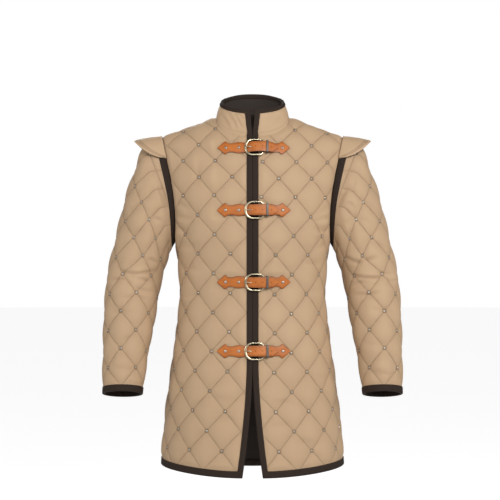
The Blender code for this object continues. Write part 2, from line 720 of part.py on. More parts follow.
def cuff_binding(name, finish):
    """The binding round the left cuff."""
    columns = np.linspace(0, SLEEVE_COLUMNS, CUFF_STEPS + 1)[:-1]
    top, low = BINDING_GAP, -THICK - BINDING_GAP
    outer, inner = top + BINDING_THICK, low - BINDING_THICK
    profile = (
        (CUFF_WIDE, outer), (0, outer), (0, inner), (CUFF_WIDE, inner),
        (CUFF_WIDE, low), (BINDING_THICK, low), (BINDING_THICK, top), (CUFF_WIDE, top),
    )
    sections = []
    for column in columns:
        across, up = SLEEVE.flat(CUFF_ROW, column)
        sections.append([SLEEVE.place((across, up + rise), h) for rise, h in profile])
    return sweep(name, np.array(sections), finish, closed=True)


def armhole_band(name, finish):
    """The plain band between the left armhole and the sleeve."""
    outer, inner = [], []
    last_row = SLEEVE_ROWS - 1
    for k, column in enumerate(np.linspace(0, SLEEVE_COLUMNS, 2 * ARM_STEPS + 1)[:-1]):
        low_share = abs(k / ARM_STEPS - 1)  # 0 at the shoulder, 1 at the armpit
        fade = 1 - min(max((low_share - 0.55) / 0.3, 0.0), 1.0)
        gap = BAND_GAP + BAND_DROP * (1 - fade)
        ends = (
            SLEEVE.flat(BAND_ROW, column) + (0.0, BAND_GAP / 2),
            SLEEVE.flat(last_row, column) - (0.0, gap),
        )
        outer.append([SLEEVE.place(e, BAND_PROUD * fade) for e in ends])
        inner.append([SLEEVE.place(e, -THICK) for e in ends])
    outer, inner = np.array(outer).transpose(1, 0, 2), np.array(inner).transpose(1, 0, 2)
    return slab(name, outer, inner, finish, closed=True)


def wing(name, finish):
    """The left shoulder wing, a padded crescent sewn in over the armhole band."""
    last_row = SLEEVE_ROWS - 1
    reach = WING_ARC * SLEEVE_HALF_COLUMNS
    outer, inner = [], []
    for share in np.linspace(-1, 1, 17):
        seam = SLEEVE.flat(last_row, SLEEVE_HALF_COLUMNS + share * reach) - (0.0, WING_INSET)
        root = SLEEVE.place(seam, BAND_PROUD + WING_LIFT)
        normal = SLEEVE.place(seam, 1.0) - SLEEVE.place(seam, 0.0)
        reach_out = WING_END + WING_REACH * max(0.0, 1 - share * share) ** 0.65
        way = np.array((1.0, WING_FLARE * share, WING_SLOPE))
        way /= np.linalg.norm(way)
        low_line, top_line = [], []
        for t in (0.0, 0.3, 0.65, 1.0):
            crown = WING_CROWN * math.sin(math.pi * t) * (1 - share * share)
            point = root + way * reach_out * t + np.array((0.0, 0.0, crown))
            thick = WING_THICK * (1 - 0.25 * t)
            up_way = normal * (1 - t) + np.array((0.0, 0.0, 1.0)) * t
            low_line.append(point)
            top_line.append(point + up_way / np.linalg.norm(up_way) * thick)
        outer.append(top_line)
        inner.append(low_line)
    outer, inner = np.array(outer).transpose(1, 0, 2), np.array(inner).transpose(1, 0, 2)
    piece = slab(name, outer, inner, finish)
    point_outwards(piece)
    return piece


# Collar

COLLAR_COLUMNS = 121
COLLAR_ROWS = 25


def collar_form():
    """The collar's form, from the neck seam up."""
    base = []
    for x, z in neck_stations(NECK_FRONT, 60)[::-1]:
        row = high_row(x, z)
        base.append(FRONT.read(FRONT.points, row, FRONT.column_at(row, x)))
    for x, z in neck_stations(NECK_BACK, 60)[1:]:
        row = high_row(x, z)
        base.append(FRONT.read(FRONT.points, row, FRONT.column_at(row, x)) * np.array((1.0, -1.0, 1.0)))
    base = np.array(base)
    base = np.vstack((base, mirrored(base)[-2::-1])) + np.array((0.0, 0.0, COLLAR_LIFT))
    base = evenly(base, COLLAR_COLUMNS)
    turn = np.linspace(0, 2 * math.pi, 361)
    middle, half = (COLLAR_FRONT_Y + COLLAR_BACK_Y) / 2, (COLLAR_BACK_Y - COLLAR_FRONT_Y) / 2
    power = 2 / COLLAR_POWER
    x = COLLAR_HALF * np.sign(np.sin(turn)) * np.abs(np.sin(turn)) ** power
    y = middle - half * np.sign(np.cos(turn)) * np.abs(np.cos(turn)) ** power
    z = COLLAR_FRONT_Z + (COLLAR_BACK_Z - COLLAR_FRONT_Z) * (0.5 - 0.5 * np.cos(turn))
    start = np.array((COLLAR_GAP, COLLAR_FRONT_Y, COLLAR_FRONT_Z))
    kept = (turn > COLLAR_CORNER) & (turn < 2 * math.pi - COLLAR_CORNER)
    top = np.vstack((start, np.stack((x, y, z), axis=1)[kept], mirrored(start)))
    top = evenly(top, COLLAR_COLUMNS)
    rows = []
    for t in np.linspace(0, 1, COLLAR_ROWS):
        line = base + (top - base) * t
        out = line - np.array((0.0, middle, 0.0))
        out[:, 2] = 0.0
        out /= np.linalg.norm(out, axis=1, keepdims=True)
        rows.append(line + out * COLLAR_BELLY * math.sin(math.pi * t))
    return np.array(rows)


COLLAR = Form(collar_form(), 0, (COLLAR_COLUMNS - 1) // 2)


def collar_pattern():
    """The collar's finished outline."""
    last_row, last_column = COLLAR_ROWS - 1, COLLAR_COLUMNS - 1
    base = [COLLAR.flat(0, c) for c in np.linspace(0, last_column, 25)]
    end = [COLLAR.flat(r, last_column) for r in np.linspace(0, last_row, 4)]
    start = [COLLAR.flat(r, 0) for r in np.linspace(last_row, 0, 4)]
    columns = np.concatenate(([last_column], np.linspace(last_column - 6, 6, 27), [0]))
    top = [COLLAR.flat(last_row, c) for c in columns]
    return Pattern(COLLAR, [("base", base), ("end", end), ("top", top), ("start", start)])


def collar_binding(pattern, widths, finish):
    """One binding up one end of the collar, round its top and down the other end."""
    lines = []
    for share in ("out", "in", "wide"):
        moves = {"base": SEAM}
        for edge, wide in widths.items():
            moves[edge] = {"out": 0.15 * MM, "in": BINDING_THICK, "wide": wide}[share]
        moved = pattern.moved_in(moves)
        line = []
        for edge in ("end", "top", "start"):
            line += pattern.along(moved, edge)[:-1]
        line.append(pattern.along(moved, "start")[-1])
        lines.append(line)
    top, low = BINDING_GAP, -COLLAR_THICK - BINDING_GAP
    outer, inner = top + BINDING_THICK, low - BINDING_THICK
    profile = ((2, outer), (0, outer), (0, inner), (2, inner), (2, low), (1, low), (1, top), (2, top))
    sections = [[pattern.form.place(lines[k][s], h) for k, h in profile] for s in range(len(lines[0]))]
    return sweep("collar_binding", np.array(sections), finish)


# Closures


def front_place(along, up, height):
    """A place on the fronts, across the centre front; along is negative on the wearer's right."""
    worn = FRONT.place((abs(along), up), height)
    return worn if along >= 0 else mirrored(worn)


def ribbon(name, strap, up, finish):
    """A leather strap on a path of lengths along and heights, with its half widths."""
    along, height = np.array(strap["along"]) * MM, np.array(strap["height"]) * MM
    half, thick = np.array(strap["half"]) * MM, strap["thick"] * MM
    ways = np.stack((np.gradient(along), np.gradient(height)), axis=1)
    ways /= np.linalg.norm(ways, axis=1, keepdims=True)
    sideways = np.stack((-ways[:, 1], ways[:, 0]), axis=1) * thick / 2
    outer, inner = [], []
    for s in range(len(along)):
        slot = min(SLOT_HALF, half[s] * 0.4)
        rows = (-half[s], -slot, slot, half[s])
        for line, sign in ((outer, 1), (inner, -1)):
            a, h = along[s] + sign * sideways[s, 0], height[s] + sign * sideways[s, 1]
            line.append([front_place(a, up + row, h) for row in rows])
    outer, inner = np.array(outer).transpose(1, 0, 2), np.array(inner).transpose(1, 0, 2)
    holes = [(1, s) for s in range(*strap["slot"])]
    piece = slab(name, outer, inner, finish, holes=holes)
    point_outwards(piece)
    return piece


def ring_path():
    """The ring's rounded outline round its middle, in millimetres."""
    path = []
    for sx, sy in ((1, 1), (-1, 1), (-1, -1), (1, -1)):
        radius, turns = RING_CORNERS[sx]["radius"], RING_CORNERS[sx]["turns"]
        middle = (sx * (RING["half_along"] - radius), sy * (RING["half_up"] - radius))
        for turn in turns if sx * sy > 0 else reversed(turns):
            angle = math.radians(turn)
            path.append((middle[0] + sx * radius * math.cos(angle), middle[1] + sy * radius * math.sin(angle)))
    return np.array(path)


def ring(name, up, finish):
    """A closure's ring of wire."""
    path = ring_path()
    sections = []
    for i, (a, b) in enumerate(path):
        way = path[(i + 1) % len(path)] - path[i - 1]
        out = np.array((way[1], -way[0])) / np.linalg.norm(way)
        section = []
        for k in range(6):
            angle = math.radians(60 * k)
            reach, rise = RING["wire"] * math.cos(angle), RING["wire"] * math.sin(angle)
            x, y = a + out[0] * reach + RING["middle"], b + out[1] * reach
            section.append(front_place(x * MM, up + y * MM, (RING["height"] + rise) * MM))
        sections.append(section)
    return sweep(name, np.array(sections), finish, closed=True)


def prong(name, up, finish):
    """A closure's prong, from the ring's far side through the strap and over the bar."""
    path = np.stack((PRONG["along"], PRONG["height"]), axis=1)
    ways = np.gradient(path, axis=0)
    sections = []
    for (a, h), way, radius in zip(path, ways, PRONG["radius"]):
        out = np.array((-way[1], way[0])) / np.linalg.norm(way)
        section = []
        for k in range(6):
            angle = math.radians(60 * k)
            lift, side = radius * math.cos(angle), radius * math.sin(angle)
            section.append(front_place((a + out[0] * lift) * MM, up + side * MM, (h + out[1] * lift) * MM))
        sections.append(section)
    return sweep(name, np.array(sections), finish, caps=((0, 1, 2, 3), (0, 3, 4, 5)))


def keeper(name, up, finish):
    """A closure's metal keeper round both straps."""
    half, low, high, thick = KEEPER["half"], KEEPER["low"], KEEPER["high"], KEEPER["thick"]
    cut = 1.5
    shape = (
        (-half + cut, low), (half - cut, low), (half, low + cut), (half, high - cut),
        (half - cut, high), (-half + cut, high), (-half, high - cut), (-half, low + cut),
    )
    middle = (low + high) / 2
    outer, inner = [], []
    for a in (KEEPER["from"], KEEPER["to"]):
        outer.append([front_place(a * MM, up + s * MM, h * MM) for s, h in shape])
        narrow, lower = 1 - thick / half, 1 - 2 * thick / (high - low)
        shrunk = [(s * narrow, middle + (h - middle) * lower) for s, h in shape]
        inner.append([front_place(a * MM, up + s * MM, h * MM) for s, h in shrunk])
    piece = slab(name, np.array(outer), np.array(inner), finish, closed=True)
    point_outwards(piece)
    return piece


def rivet(name, along, up, finish):
    """A domed rivet head on a strap."""
    rings = ((RIVET_RADIUS, 0.0), (RIVET_RADIUS * 0.85, RIVET_RISE - 0.8))
    round_ = 8
    points = []
    for radius, rise in rings:
        for k in range(round_):
            angle = 2 * math.pi * k / round_
            a, b = along + radius * math.cos(angle), radius * math.sin(angle)
            points.append(front_place(a * MM, up + b * MM, (STRAP_TOP + 0.3 + rise) * MM))
    points.append(front_place(along * MM, up, (STRAP_TOP + 0.3) * MM))
    points.append(front_place(along * MM, up, (STRAP_TOP + 0.3 + RIVET_RISE) * MM))
    triangles = []
    for level in range(len(rings) - 1):
        for k in range(round_):
            j = (k + 1) % round_
            a, b = level * round_, (level + 1) * round_
            triangles += split_quads([(a + k, a + j, b + j, b + k)])
    last = (len(rings) - 1) * round_
    for k in range(round_):
        j = (k + 1) % round_
        triangles.append((len(points) - 2, j, k))
        triangles.append((len(points) - 1, last + k, last + j))
    piece = new_object(name, points, triangles, finish)
    point_outwards(piece)
    return piece


def closure_up(level):
    """How far up the flat front a closure at a level lies."""
    return front_flat(0.0, level)[1] if level > ARMPIT else FRONT.flat(low_row(level), 0)[1]


def closure(number, level, leather, brass, steel):
    """One closure: two straps, ring, prong, keeper and rivets."""
    up = closure_up(level)
    name = f"closure_{number}"
    ribbon(f"{name}_billet", BILLET, up, leather)
    ribbon(f"{name}_anchor", ANCHOR, up, leather)
    ring(f"{name}_ring", up, brass)
    prong(f"{name}_prong", up, brass)
    keeper(f"{name}_keeper", up, steel)
    for k, along in enumerate(RIVETS_ALONG, 1):
        rivet(f"{name}_rivet_{k}", along, up, steel)


def material(name, colour, roughness, metallic=0.0):
    """A plain material."""
    made = bpy.data.materials.new(name)
    made.use_nodes = True
    shader = made.node_tree.nodes["Principled BSDF"]
    shader.inputs["Base Color"].default_value = (*colour, 1.0)
    shader.inputs["Roughness"].default_value = roughness
    shader.inputs["Metallic"].default_value = metallic
    return made


def main():
    """Build the gambeson."""
    for old in list(bpy.data.objects):
        bpy.data.objects.remove(old, do_unlink=True)
    drill = material("tan cotton drill", (0.45, 0.31, 0.19), 0.75)
    twill = material("dark brown twill", (0.035, 0.02, 0.013), 0.8)
    leather = material("tan leather", (0.42, 0.17, 0.055), 0.5)
    brass = material("antique brass", (0.72, 0.62, 0.40), 0.3, 1.0)
    steel = material("grey steel", (0.55, 0.55, 0.54), 0.35, 1.0)

    closures_up = [closure_up(level) for level in CLOSURE_LEVELS]
    front = front_pattern()
    bound = {"hem": HEM_WIDE, "middle": BINDING_WIDE}
    made = [
        quilted("front_left", front, FRONT_LATTICE, bound, drill, pressed=closures_up),
        binding("front_binding_left", front, "middle", bound, twill, mitred=(False, True)),
        binding("hem_binding_left", front, "hem", bound, twill, mitred=(True, False)),
    ]
    sleeve = sleeve_pattern()
    made += [
        quilted("sleeve_left", sleeve, SLEEVE_LATTICE, {"cuff": CUFF_WIDE}, drill),
        cuff_binding("cuff_binding_left", twill),
        armhole_band("armhole_band_left", twill),
        wing("wing_left", drill),
    ]
    for piece in made:
        mirror_piece(piece, piece.name.replace("left", "right"))

    back = back_pattern()
    quilted("back", back, BACK_LATTICE, {"hem": HEM_WIDE}, drill)
    binding("hem_binding_back", back, "hem", {"hem": HEM_WIDE}, twill)

    collar = collar_pattern()
    collar_bound = {"end": COLLAR_WIDE, "top": COLLAR_WIDE, "start": COLLAR_WIDE}
    quilted("collar", collar, None, collar_bound, drill, thick=COLLAR_THICK, spare=COLLAR_SPARE)
    collar_binding(collar, collar_bound, twill)

    for number, level in enumerate(CLOSURE_LEVELS, 1):
        closure(number, level, leather, brass, steel)


main()
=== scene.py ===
"""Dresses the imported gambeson: quilted drill, dark bindings, studs, leather closures and soft light.

The worn forms come from the same sizes as the solids, and each piece of cloth is laid on its form from
its flat cut. Metres, +Z up. The wearer faces -Y, and the wearer's left is +X.
"""

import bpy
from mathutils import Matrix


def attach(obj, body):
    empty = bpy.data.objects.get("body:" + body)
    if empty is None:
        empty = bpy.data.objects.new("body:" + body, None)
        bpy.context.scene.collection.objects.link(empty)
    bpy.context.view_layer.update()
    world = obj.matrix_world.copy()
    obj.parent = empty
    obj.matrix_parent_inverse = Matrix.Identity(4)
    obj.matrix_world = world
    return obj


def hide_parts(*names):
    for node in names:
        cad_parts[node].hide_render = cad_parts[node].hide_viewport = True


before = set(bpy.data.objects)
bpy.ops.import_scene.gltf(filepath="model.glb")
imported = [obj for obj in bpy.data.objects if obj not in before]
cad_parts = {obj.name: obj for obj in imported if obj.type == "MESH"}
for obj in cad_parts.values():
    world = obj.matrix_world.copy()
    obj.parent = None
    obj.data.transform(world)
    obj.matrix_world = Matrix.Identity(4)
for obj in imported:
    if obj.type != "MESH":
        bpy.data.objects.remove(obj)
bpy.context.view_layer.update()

import logging
import math
from dataclasses import dataclass, field
from enum import Enum

import bmesh
import bpy
import numpy as np
from bpy.types import Material, NodeSocket, NodeTree, Object
from mathutils import Vector
from mathutils.geometry import delaunay_2d_cdt

Row = tuple[float, ...]
Array = np.ndarray

LOG = logging.getLogger("gambeson")
MM = 0.001
BODY = "root"
ALONG = (1.0, 0.0, 0.0)
UP = np.array((0.0, 0.0, 1.0))


class Side(Enum):
    """The wearer's side that a piece is on."""

    LEFT = "left"
    RIGHT = "right"

    def put(self, points: Array) -> Array:
        """Points made on the wearer's left, put on this side."""
        return points if self is Side.LEFT else points * np.array((-1.0, 1.0, 1.0))


class Face(Enum):
    """Which way a fold's cloth faces: the sign of its outward y."""

    FRONT = -1.0
    BACK = 1.0


# Sizes, the same as the solids have


@dataclass(frozen=True)
class BodySizes:
    """The trunk's driving sizes."""

    armpit: float = -0.296
    hem_front: float = -0.888
    hem_side: float = -0.870
    hem_back: float = -0.900
    lowest: float = -0.930
    ring_power: float = 2.3
    close_power: float = 2.1
    ridge_slope: float = 0.384
    ridge_round: float = 0.05
    neck_half: float = 0.095
    neck_side: float = 0.026
    neck_front: float = -0.028
    neck_back: float = 0.035
    neck_power: float = 2.2
    split_top: float = -0.610
    split_half: float = 0.028
    split_depth: float = 0.295
    level: Row = (
        -0.930, -0.811, -0.707, -0.629, -0.577, -0.525, -0.473, -0.421, -0.369, -0.296)
    half_width: Row = (
        0.2400, 0.2315, 0.2210, 0.2105, 0.2025, 0.1965, 0.1900, 0.1875, 0.1895, 0.2000)
    half_depth: Row = (
        0.1820, 0.1720, 0.1610, 0.1510, 0.1440, 0.1370, 0.1300, 0.1270, 0.1300, 0.1370)
    chest_rise: Row = (0.0, 0.17, 0.50, 0.80, 1.0)
    chest_half_width: Row = (0.2000, 0.2100, 0.2280, 0.2500, 0.3000)
    armhole_level: Row = (-0.296, -0.238, -0.188, -0.139, -0.084, -0.0243)
    armhole_out: Row = (0.2000, 0.1990, 0.2015, 0.2090, 0.2205, 0.2330)


@dataclass(frozen=True)
class SleeveSizes:
    """The sleeve's sections: outer and under points, half depth, middle of the depth, forward lean."""

    outer_x: Row = (
        0.2330, 0.2525, 0.2810, 0.3005, 0.3210, 0.3430, 0.3605,
        0.3745, 0.3805, 0.3830, 0.3830, 0.3835, 0.3840)
    outer_z: Row = (
        -0.0243, -0.032, -0.053, -0.100, -0.157, -0.239, -0.315,
        -0.381, -0.447, -0.530, -0.610, -0.686, -0.706)
    under_x: Row = (
        0.2000, 0.2085, 0.2145, 0.2185, 0.2235, 0.2300, 0.2370,
        0.2430, 0.2500, 0.2620, 0.2745, 0.2830, 0.2850)
    under_z: Row = (
        -0.296, -0.3105, -0.3195, -0.331, -0.3465, -0.366, -0.389,
        -0.425, -0.470, -0.540, -0.613, -0.686, -0.706)
    half_depth: Row = (
        0.064, 0.068, 0.071, 0.073, 0.074, 0.074, 0.072, 0.070, 0.067, 0.062, 0.057, 0.053, 0.0525)
    middle_y: Row = (
        0.0, 0.0, 0.0, 0.001, 0.002, 0.004, 0.003, -0.002, -0.014, -0.031, -0.048, -0.0645, -0.069)
    lean: Row = (0.0, 0.0, -1.0, -2.0, -3.0, -2.0, 2.0, 8.0, 12.0, 13.0, 13.0, 13.0, 13.0)
    band_section: int = 1
    cuff_section: int = 11
    blend_section: int = 4


@dataclass(frozen=True)
class CollarSizes:
    """The standing collar's sizes."""

    half: float = 0.080
    front_y: float = -0.072
    back_y: float = 0.054
    front_z: float = 0.043
    back_z: float = 0.092
    gap: float = 0.005
    corner: float = 0.12
    power: float = 2.15
    belly: float = 2.5 * MM
    lift: float = -0.5 * MM
    thick: float = 5.0 * MM
    spare: float = 0.5 * MM


@dataclass(frozen=True)
class ClothSizes:
    """Walls, seams and bindings."""

    thick: float = 3.5 * MM
    puff: float = 4.4 * MM
    seam: float = 0.2 * MM
    binding_wide: float = 15 * MM
    hem_wide: float = 18 * MM
    cuff_wide: float = 17 * MM
    collar_wide: float = 12 * MM
    binding_thick: float = 1.3 * MM
    binding_gap: float = 0.6 * MM
    mitre: float = 0.25 * MM
    sewn: float = 0.03 * MM


BODY_SIZES = BodySizes()
SLEEVE_SIZES = SleeveSizes()
COLLAR_SIZES = CollarSizes()
CLOTH = ClothSizes()
FOLD_STRENGTH = 1.7
DRIFT_ROUNDS = 12


# Lines and forms


def smooth_through(xs: Array, ys: Array, x: Array) -> Array:
    """A smooth curve through points.

    Args:
        xs: Where the points are, rising.
        ys: Their values.
        x: Where the curve is read.

    Returns:
        The values at x.
    """
    xs, ys = np.asarray(xs, float), np.asarray(ys, float)
    slopes = np.gradient(ys, xs)
    i = np.clip(np.searchsorted(xs, x) - 1, 0, len(xs) - 2)
    h = xs[i + 1] - xs[i]
    t = np.clip((x - xs[i]) / h, 0.0, 1.0)
    a, b = slopes[i] * h, slopes[i + 1] * h
    rise = ys[i + 1] - ys[i]
    return ys[i] + t * (a + t * (3 * rise - 2 * a - b + t * (a + b - 2 * rise)))


def lengths(points: Array) -> Array:
    """The length along a line of points, from its first point."""
    steps = np.linalg.norm(np.diff(points, axis=0), axis=1)
    return np.concatenate(([0.0], np.cumsum(steps)))


def evenly(points: Array, count: int) -> Array:
    """The same line with evenly spaced points.

    Args:
        points: The line.
        count: How many points the new line has.

    Returns:
        The new line.
    """
    along = lengths(points)
    at = np.linspace(0.0, along[-1], count)
    return np.stack([np.interp(at, along, points[:, k]) for k in range(points.shape[1])], axis=1)


def finer(line: Array, parts: int) -> Array:
    """The same line with each step cut into equal parts.

    Args:
        line: The line.
        parts: How many parts each step is cut into.

    Returns:
        The new line.
    """
    marks = np.linspace(0, len(line) - 1, (len(line) - 1) * parts + 1)
    steps = np.arange(len(line))
    return np.stack([np.interp(marks, steps, line[:, k]) for k in range(line.shape[1])], axis=1)


def mirrored(points: Array) -> Array:
    """Points on the other side of the middle."""
    return points * np.array((-1.0, 1.0, 1.0))


def eased(share: Array) -> Array:
    """A share from 0 to 1, eased at both ends."""
    share = np.clip(share, 0.0, 1.0)
    return share * share * (3 - 2 * share)


def bell(distance: Array, reach: float) -> Array:
    """A smooth bump: 1 at distance 0, and close to 0 past twice its reach."""
    return np.exp(-((distance / reach) ** 2))


def chance(cells: Array) -> Array:
    """A number from 0 to 1 for each cell, which looks random and is the same in every run."""
    return np.modf(np.abs(np.sin(cells @ (12.9898, 78.233)) * 43758.5453))[0]


def unit(ways: Array) -> Array:
    """Directions with length one."""
    return ways / np.maximum(np.linalg.norm(ways, axis=-1, keepdims=True), 1e-12)


class WornForm:
    """A worn surface that flat cloth is laid on.

    Rows run from low to high, and columns from left to right as seen from outside.
    """

    SEARCH_ROUNDS = 24

    def __init__(self, points: Array, datum_row: int = 0, datum_column: int = 0) -> None:
        """Measure the form.

        Args:
            points: Rows by columns of points.
            datum_row: The row at length up 0.
            datum_column: The column at length across 0.
        """
        self.points = points
        up = np.cumsum(np.linalg.norm(np.diff(points, axis=0), axis=2), axis=0)
        up = np.vstack((np.zeros((1, points.shape[1])), up))
        across = np.cumsum(np.linalg.norm(np.diff(points, axis=1), axis=2), axis=1)
        across = np.hstack((np.zeros((len(points), 1)), across))
        self.across = across - across[:, datum_column : datum_column + 1]
        self.up = up - up[datum_row : datum_row + 1]
        self.normals = unit(np.cross(np.gradient(points, axis=1), np.gradient(points, axis=0)))
        self.start = (float(datum_row), float(datum_column))
        self.slopes = [np.gradient(table, axis=k) for table in (self.across, self.up) for k in (0, 1)]

    def read(self, table: Array, row: Array, column: Array) -> Array:
        """A table of the form between its rows and columns.

        Args:
            table: One value, or one point, for each row and column.
            row: The rows.
            column: The columns.

        Returns:
            The values.
        """
        row, column = np.atleast_1d(np.asarray(row, float)), np.atleast_1d(np.asarray(column, float))
        r = np.clip(row.astype(int), 0, table.shape[0] - 2)
        c = np.clip(column.astype(int), 0, table.shape[1] - 2)
        f, g = row - r, column - c
        if table.ndim == 3:
            f, g = f[:, None], g[:, None]
        low = table[r, c] * (1 - g) + table[r, c + 1] * g
        high = table[r + 1, c] * (1 - g) + table[r + 1, c + 1] * g
        return low * (1 - f) + high * f

    def flat(self, row: Array, column: Array) -> Array:
        """Where rows and columns lie on the flat cloth.

        Args:
            row: The rows.
            column: The columns.

        Returns:
            Lengths across and up.
        """
        row, column = np.broadcast_arrays(np.asarray(row, float), np.asarray(column, float))
        tables = (self.across, self.up)
        return np.stack([self.read(table, row.ravel(), column.ravel()) for table in tables], axis=1)

    def find(self, flats: Array) -> tuple[Array, Array]:
        """The rows and columns of places on the flat cloth.

        Args:
            flats: Lengths across and up.

        Returns:
            The rows and the columns.
        """
        rows, columns = self.across.shape
        row = np.full(len(flats), self.start[0])
        column = np.full(len(flats), self.start[1])
        for _ in range(self.SEARCH_ROUNDS):
            off_across = flats[:, 0] - self.read(self.across, row, column)
            off_up = flats[:, 1] - self.read(self.up, row, column)
            a, b, c, d = (self.read(slope, row, column) for slope in self.slopes)
            size = a * d - b * c
            size = np.where(np.abs(size) < 1e-12, 1e-12, size)
            step_row = (off_across * d - b * off_up) / size
            step_column = (a * off_up - c * off_across) / size
            row = np.clip(row + np.clip(step_row, -rows / 3, rows / 3), 0, rows - 1)
            column = np.clip(column + np.clip(step_column, -columns / 3, columns / 3), 0, columns - 1)
        return row, column

    def place(self, flats: Array, heights: Array | float = 0.0) -> Array:
        """The worn places of flat points.

        Args:
            flats: Lengths across and up.
            heights: How far out of the cloth each lies.

        Returns:
            The points.
        """
        row, column = self.find(np.asarray(flats, float).reshape(-1, 2))
        heights = np.broadcast_to(np.asarray(heights, float), row.shape)
        outward = unit(self.read(self.normals, row, column))
        return self.read(self.points, row, column) + outward * heights[:, None]

    def outward(self, flats: Array) -> Array:
        """The directions out of the cloth at flat points."""
        row, column = self.find(np.asarray(flats, float).reshape(-1, 2))
        return unit(self.read(self.normals, row, column))

    def column_at(self, row: float, x: float) -> float:
        """The column of a row that lies at x, where x grows along the row.

        Args:
            row: The row.
            x: Where the column is looked for.

        Returns:
            The column.
        """
        r = int(min(row, len(self.points) - 2))
        xs = self.points[r, :, 0] * (1 - row + r) + self.points[r + 1, :, 0] * (row - r)
        return float(np.interp(x, xs, np.arange(len(xs))))


class Trunk:
    """The worn body: its forms, and where the seams run on them."""

    LOW_ROWS = 142
    HIGH_ROWS = 92
    COLUMNS = 145
    ARM_STATIONS = 241
    RING_STATIONS = 721
    SWING_POWER = 1.6

    def __init__(self, sizes: BodySizes = BODY_SIZES) -> None:
        """Work out the forms.

        Args:
            sizes: The driving sizes.
        """
        self.sizes = sizes
        self.front = WornForm(self.quarter(True), self.LOW_ROWS - 1, 0)
        self.plain = WornForm(self.quarter(False), self.LOW_ROWS - 1, 0)
        half = self.plain.points * np.array((1.0, -1.0, 1.0))
        whole = np.hstack((half[:, ::-1], mirrored(half)[:, 1:]))
        self.back = WornForm(whole, self.LOW_ROWS - 1, self.COLUMNS - 1)
        self.arm_out, self.arm_level, self.arm_worn = self.armhole_line()

    def ridge(self, x: Array) -> Array:
        """The height of the shoulder ridge.

        Args:
            x: How far out it is read.

        Returns:
            The levels.
        """
        s = self.sizes
        drop = s.ridge_slope * (np.sqrt(x * x + s.ridge_round**2) - math.hypot(s.neck_half, s.ridge_round))
        return s.neck_side - drop

    def quarter(self, parted: bool) -> Array:
        """The front quarter on the wearer's left, columns from the middle to the side.

        Args:
            parted: Whether the front edges swing apart below the split.

        Returns:
            Rows by columns of points.
        """
        s = self.sizes
        angle = np.linspace(0, math.pi / 2, self.RING_STATIONS)
        wide = np.sin(angle) ** (2 / s.ring_power)
        deep = -np.abs(np.cos(angle)) ** (2 / s.ring_power)
        rows = []
        for level in np.linspace(s.lowest, s.armpit, self.LOW_ROWS):
            half_width = smooth_through(s.level, s.half_width, level)
            half_depth = smooth_through(s.level, s.half_depth, level)
            ring = np.stack((half_width * wide, half_depth * deep, np.full_like(wide, level)), axis=1)
            swing = s.split_half * (max(0.0, s.split_top - level) / s.split_depth) ** self.SWING_POWER
            first = swing if parted else 0.0
            middle = [first, np.interp(first, ring[:, 0], ring[:, 1]), level]
            rows.append(evenly(np.vstack((middle, ring[ring[:, 0] > first])), self.COLUMNS))
        for turn in np.linspace(0, math.pi / 2, self.HIGH_ROWS)[1:]:
            rise = math.sin(turn) ** (2 / s.close_power)
            closing = max(math.cos(turn), 0.0) ** (2 / s.close_power)
            x = smooth_through(s.chest_rise, s.chest_half_width, rise) * wide
            z = s.armpit + (self.ridge(x) - s.armpit) * rise
            rows.append(evenly(np.stack((x, s.half_depth[-1] * deep * closing, z), axis=1), self.COLUMNS))
        return np.array(rows)

    def high_row(self, x: float, z: float) -> float:
        """The row above the armpit for a point seen from the front.

        Args:
            x: How far out the point lies.
            z: Its level.

        Returns:
            The row.
        """
        s = self.sizes
        rise = min(max((z - s.armpit) / (float(self.ridge(np.float64(x))) - s.armpit), 0.0), 1.0)
        turn = math.asin(rise ** (s.close_power / 2))
        return self.LOW_ROWS - 1 + turn / (math.pi / 2) * (self.HIGH_ROWS - 1)

    def low_row(self, level: Array) -> Array:
        """The row for a level below the armpit."""
        s = self.sizes
        return (np.asarray(level) - s.lowest) / (s.armpit - s.lowest) * (self.LOW_ROWS - 1)

    def seen(self, form: WornForm, stations: Array) -> tuple[Array, Array]:
        """Rows and columns of points above the armpit.

        Args:
            form: The form that they are looked for on.
            stations: Their x and z, seen from the front.

        Returns:
            The rows and the columns.
        """
        rows = np.array([self.high_row(x, z) for x, z in stations])
        columns = np.array([form.column_at(row, x) for row, (x, _) in zip(rows, stations)])
        return rows, columns

    def front_flats(self, stations: Array) -> Array:
        """Flat places on the left front of points above the armpit, seen from the front."""
        return self.front.flat(*self.seen(self.front, stations))

    def back_flats(self, stations: Array, side: float) -> Array:
        """Flat places on the back; side is 1 for the wearer's left and -1 for the right."""
        rows, columns = self.seen(self.plain, stations)
        return self.back.flat(rows, self.COLUMNS - 1 - side * columns)

    def worn(self, stations: Array) -> Array:
        """Worn places on the left front of points seen from the front."""
        return self.front.read(self.front.points, *self.seen(self.front, stations))

    def armhole_line(self) -> tuple[Array, Array, Array]:
        """The armhole seam from armpit to shoulder.

        Returns:
            Its x and its level seen from the front, and its worn points.
        """
        s = self.sizes
        level = np.linspace(s.armpit, s.armhole_level[-1], self.ARM_STATIONS)
        out = smooth_through(s.armhole_level, s.armhole_out, level)
        worn = self.worn(np.stack((out, level), axis=1))
        worn[0, 1] = worn[-1, 1] = 0.0
        return out, level, worn

    def arm_stations(self, steps: int) -> Array:
        """The stations of the armhole seam, armpit to shoulder, seen from the front.

        Args:
            steps: How many steps there are between the stations.

        Returns:
            The stations' x and z.
        """
        along = lengths(self.arm_worn)
        at = np.linspace(0, along[-1], steps + 1)
        return np.stack((np.interp(at, along, self.arm_out), np.interp(at, along, self.arm_level)), axis=1)

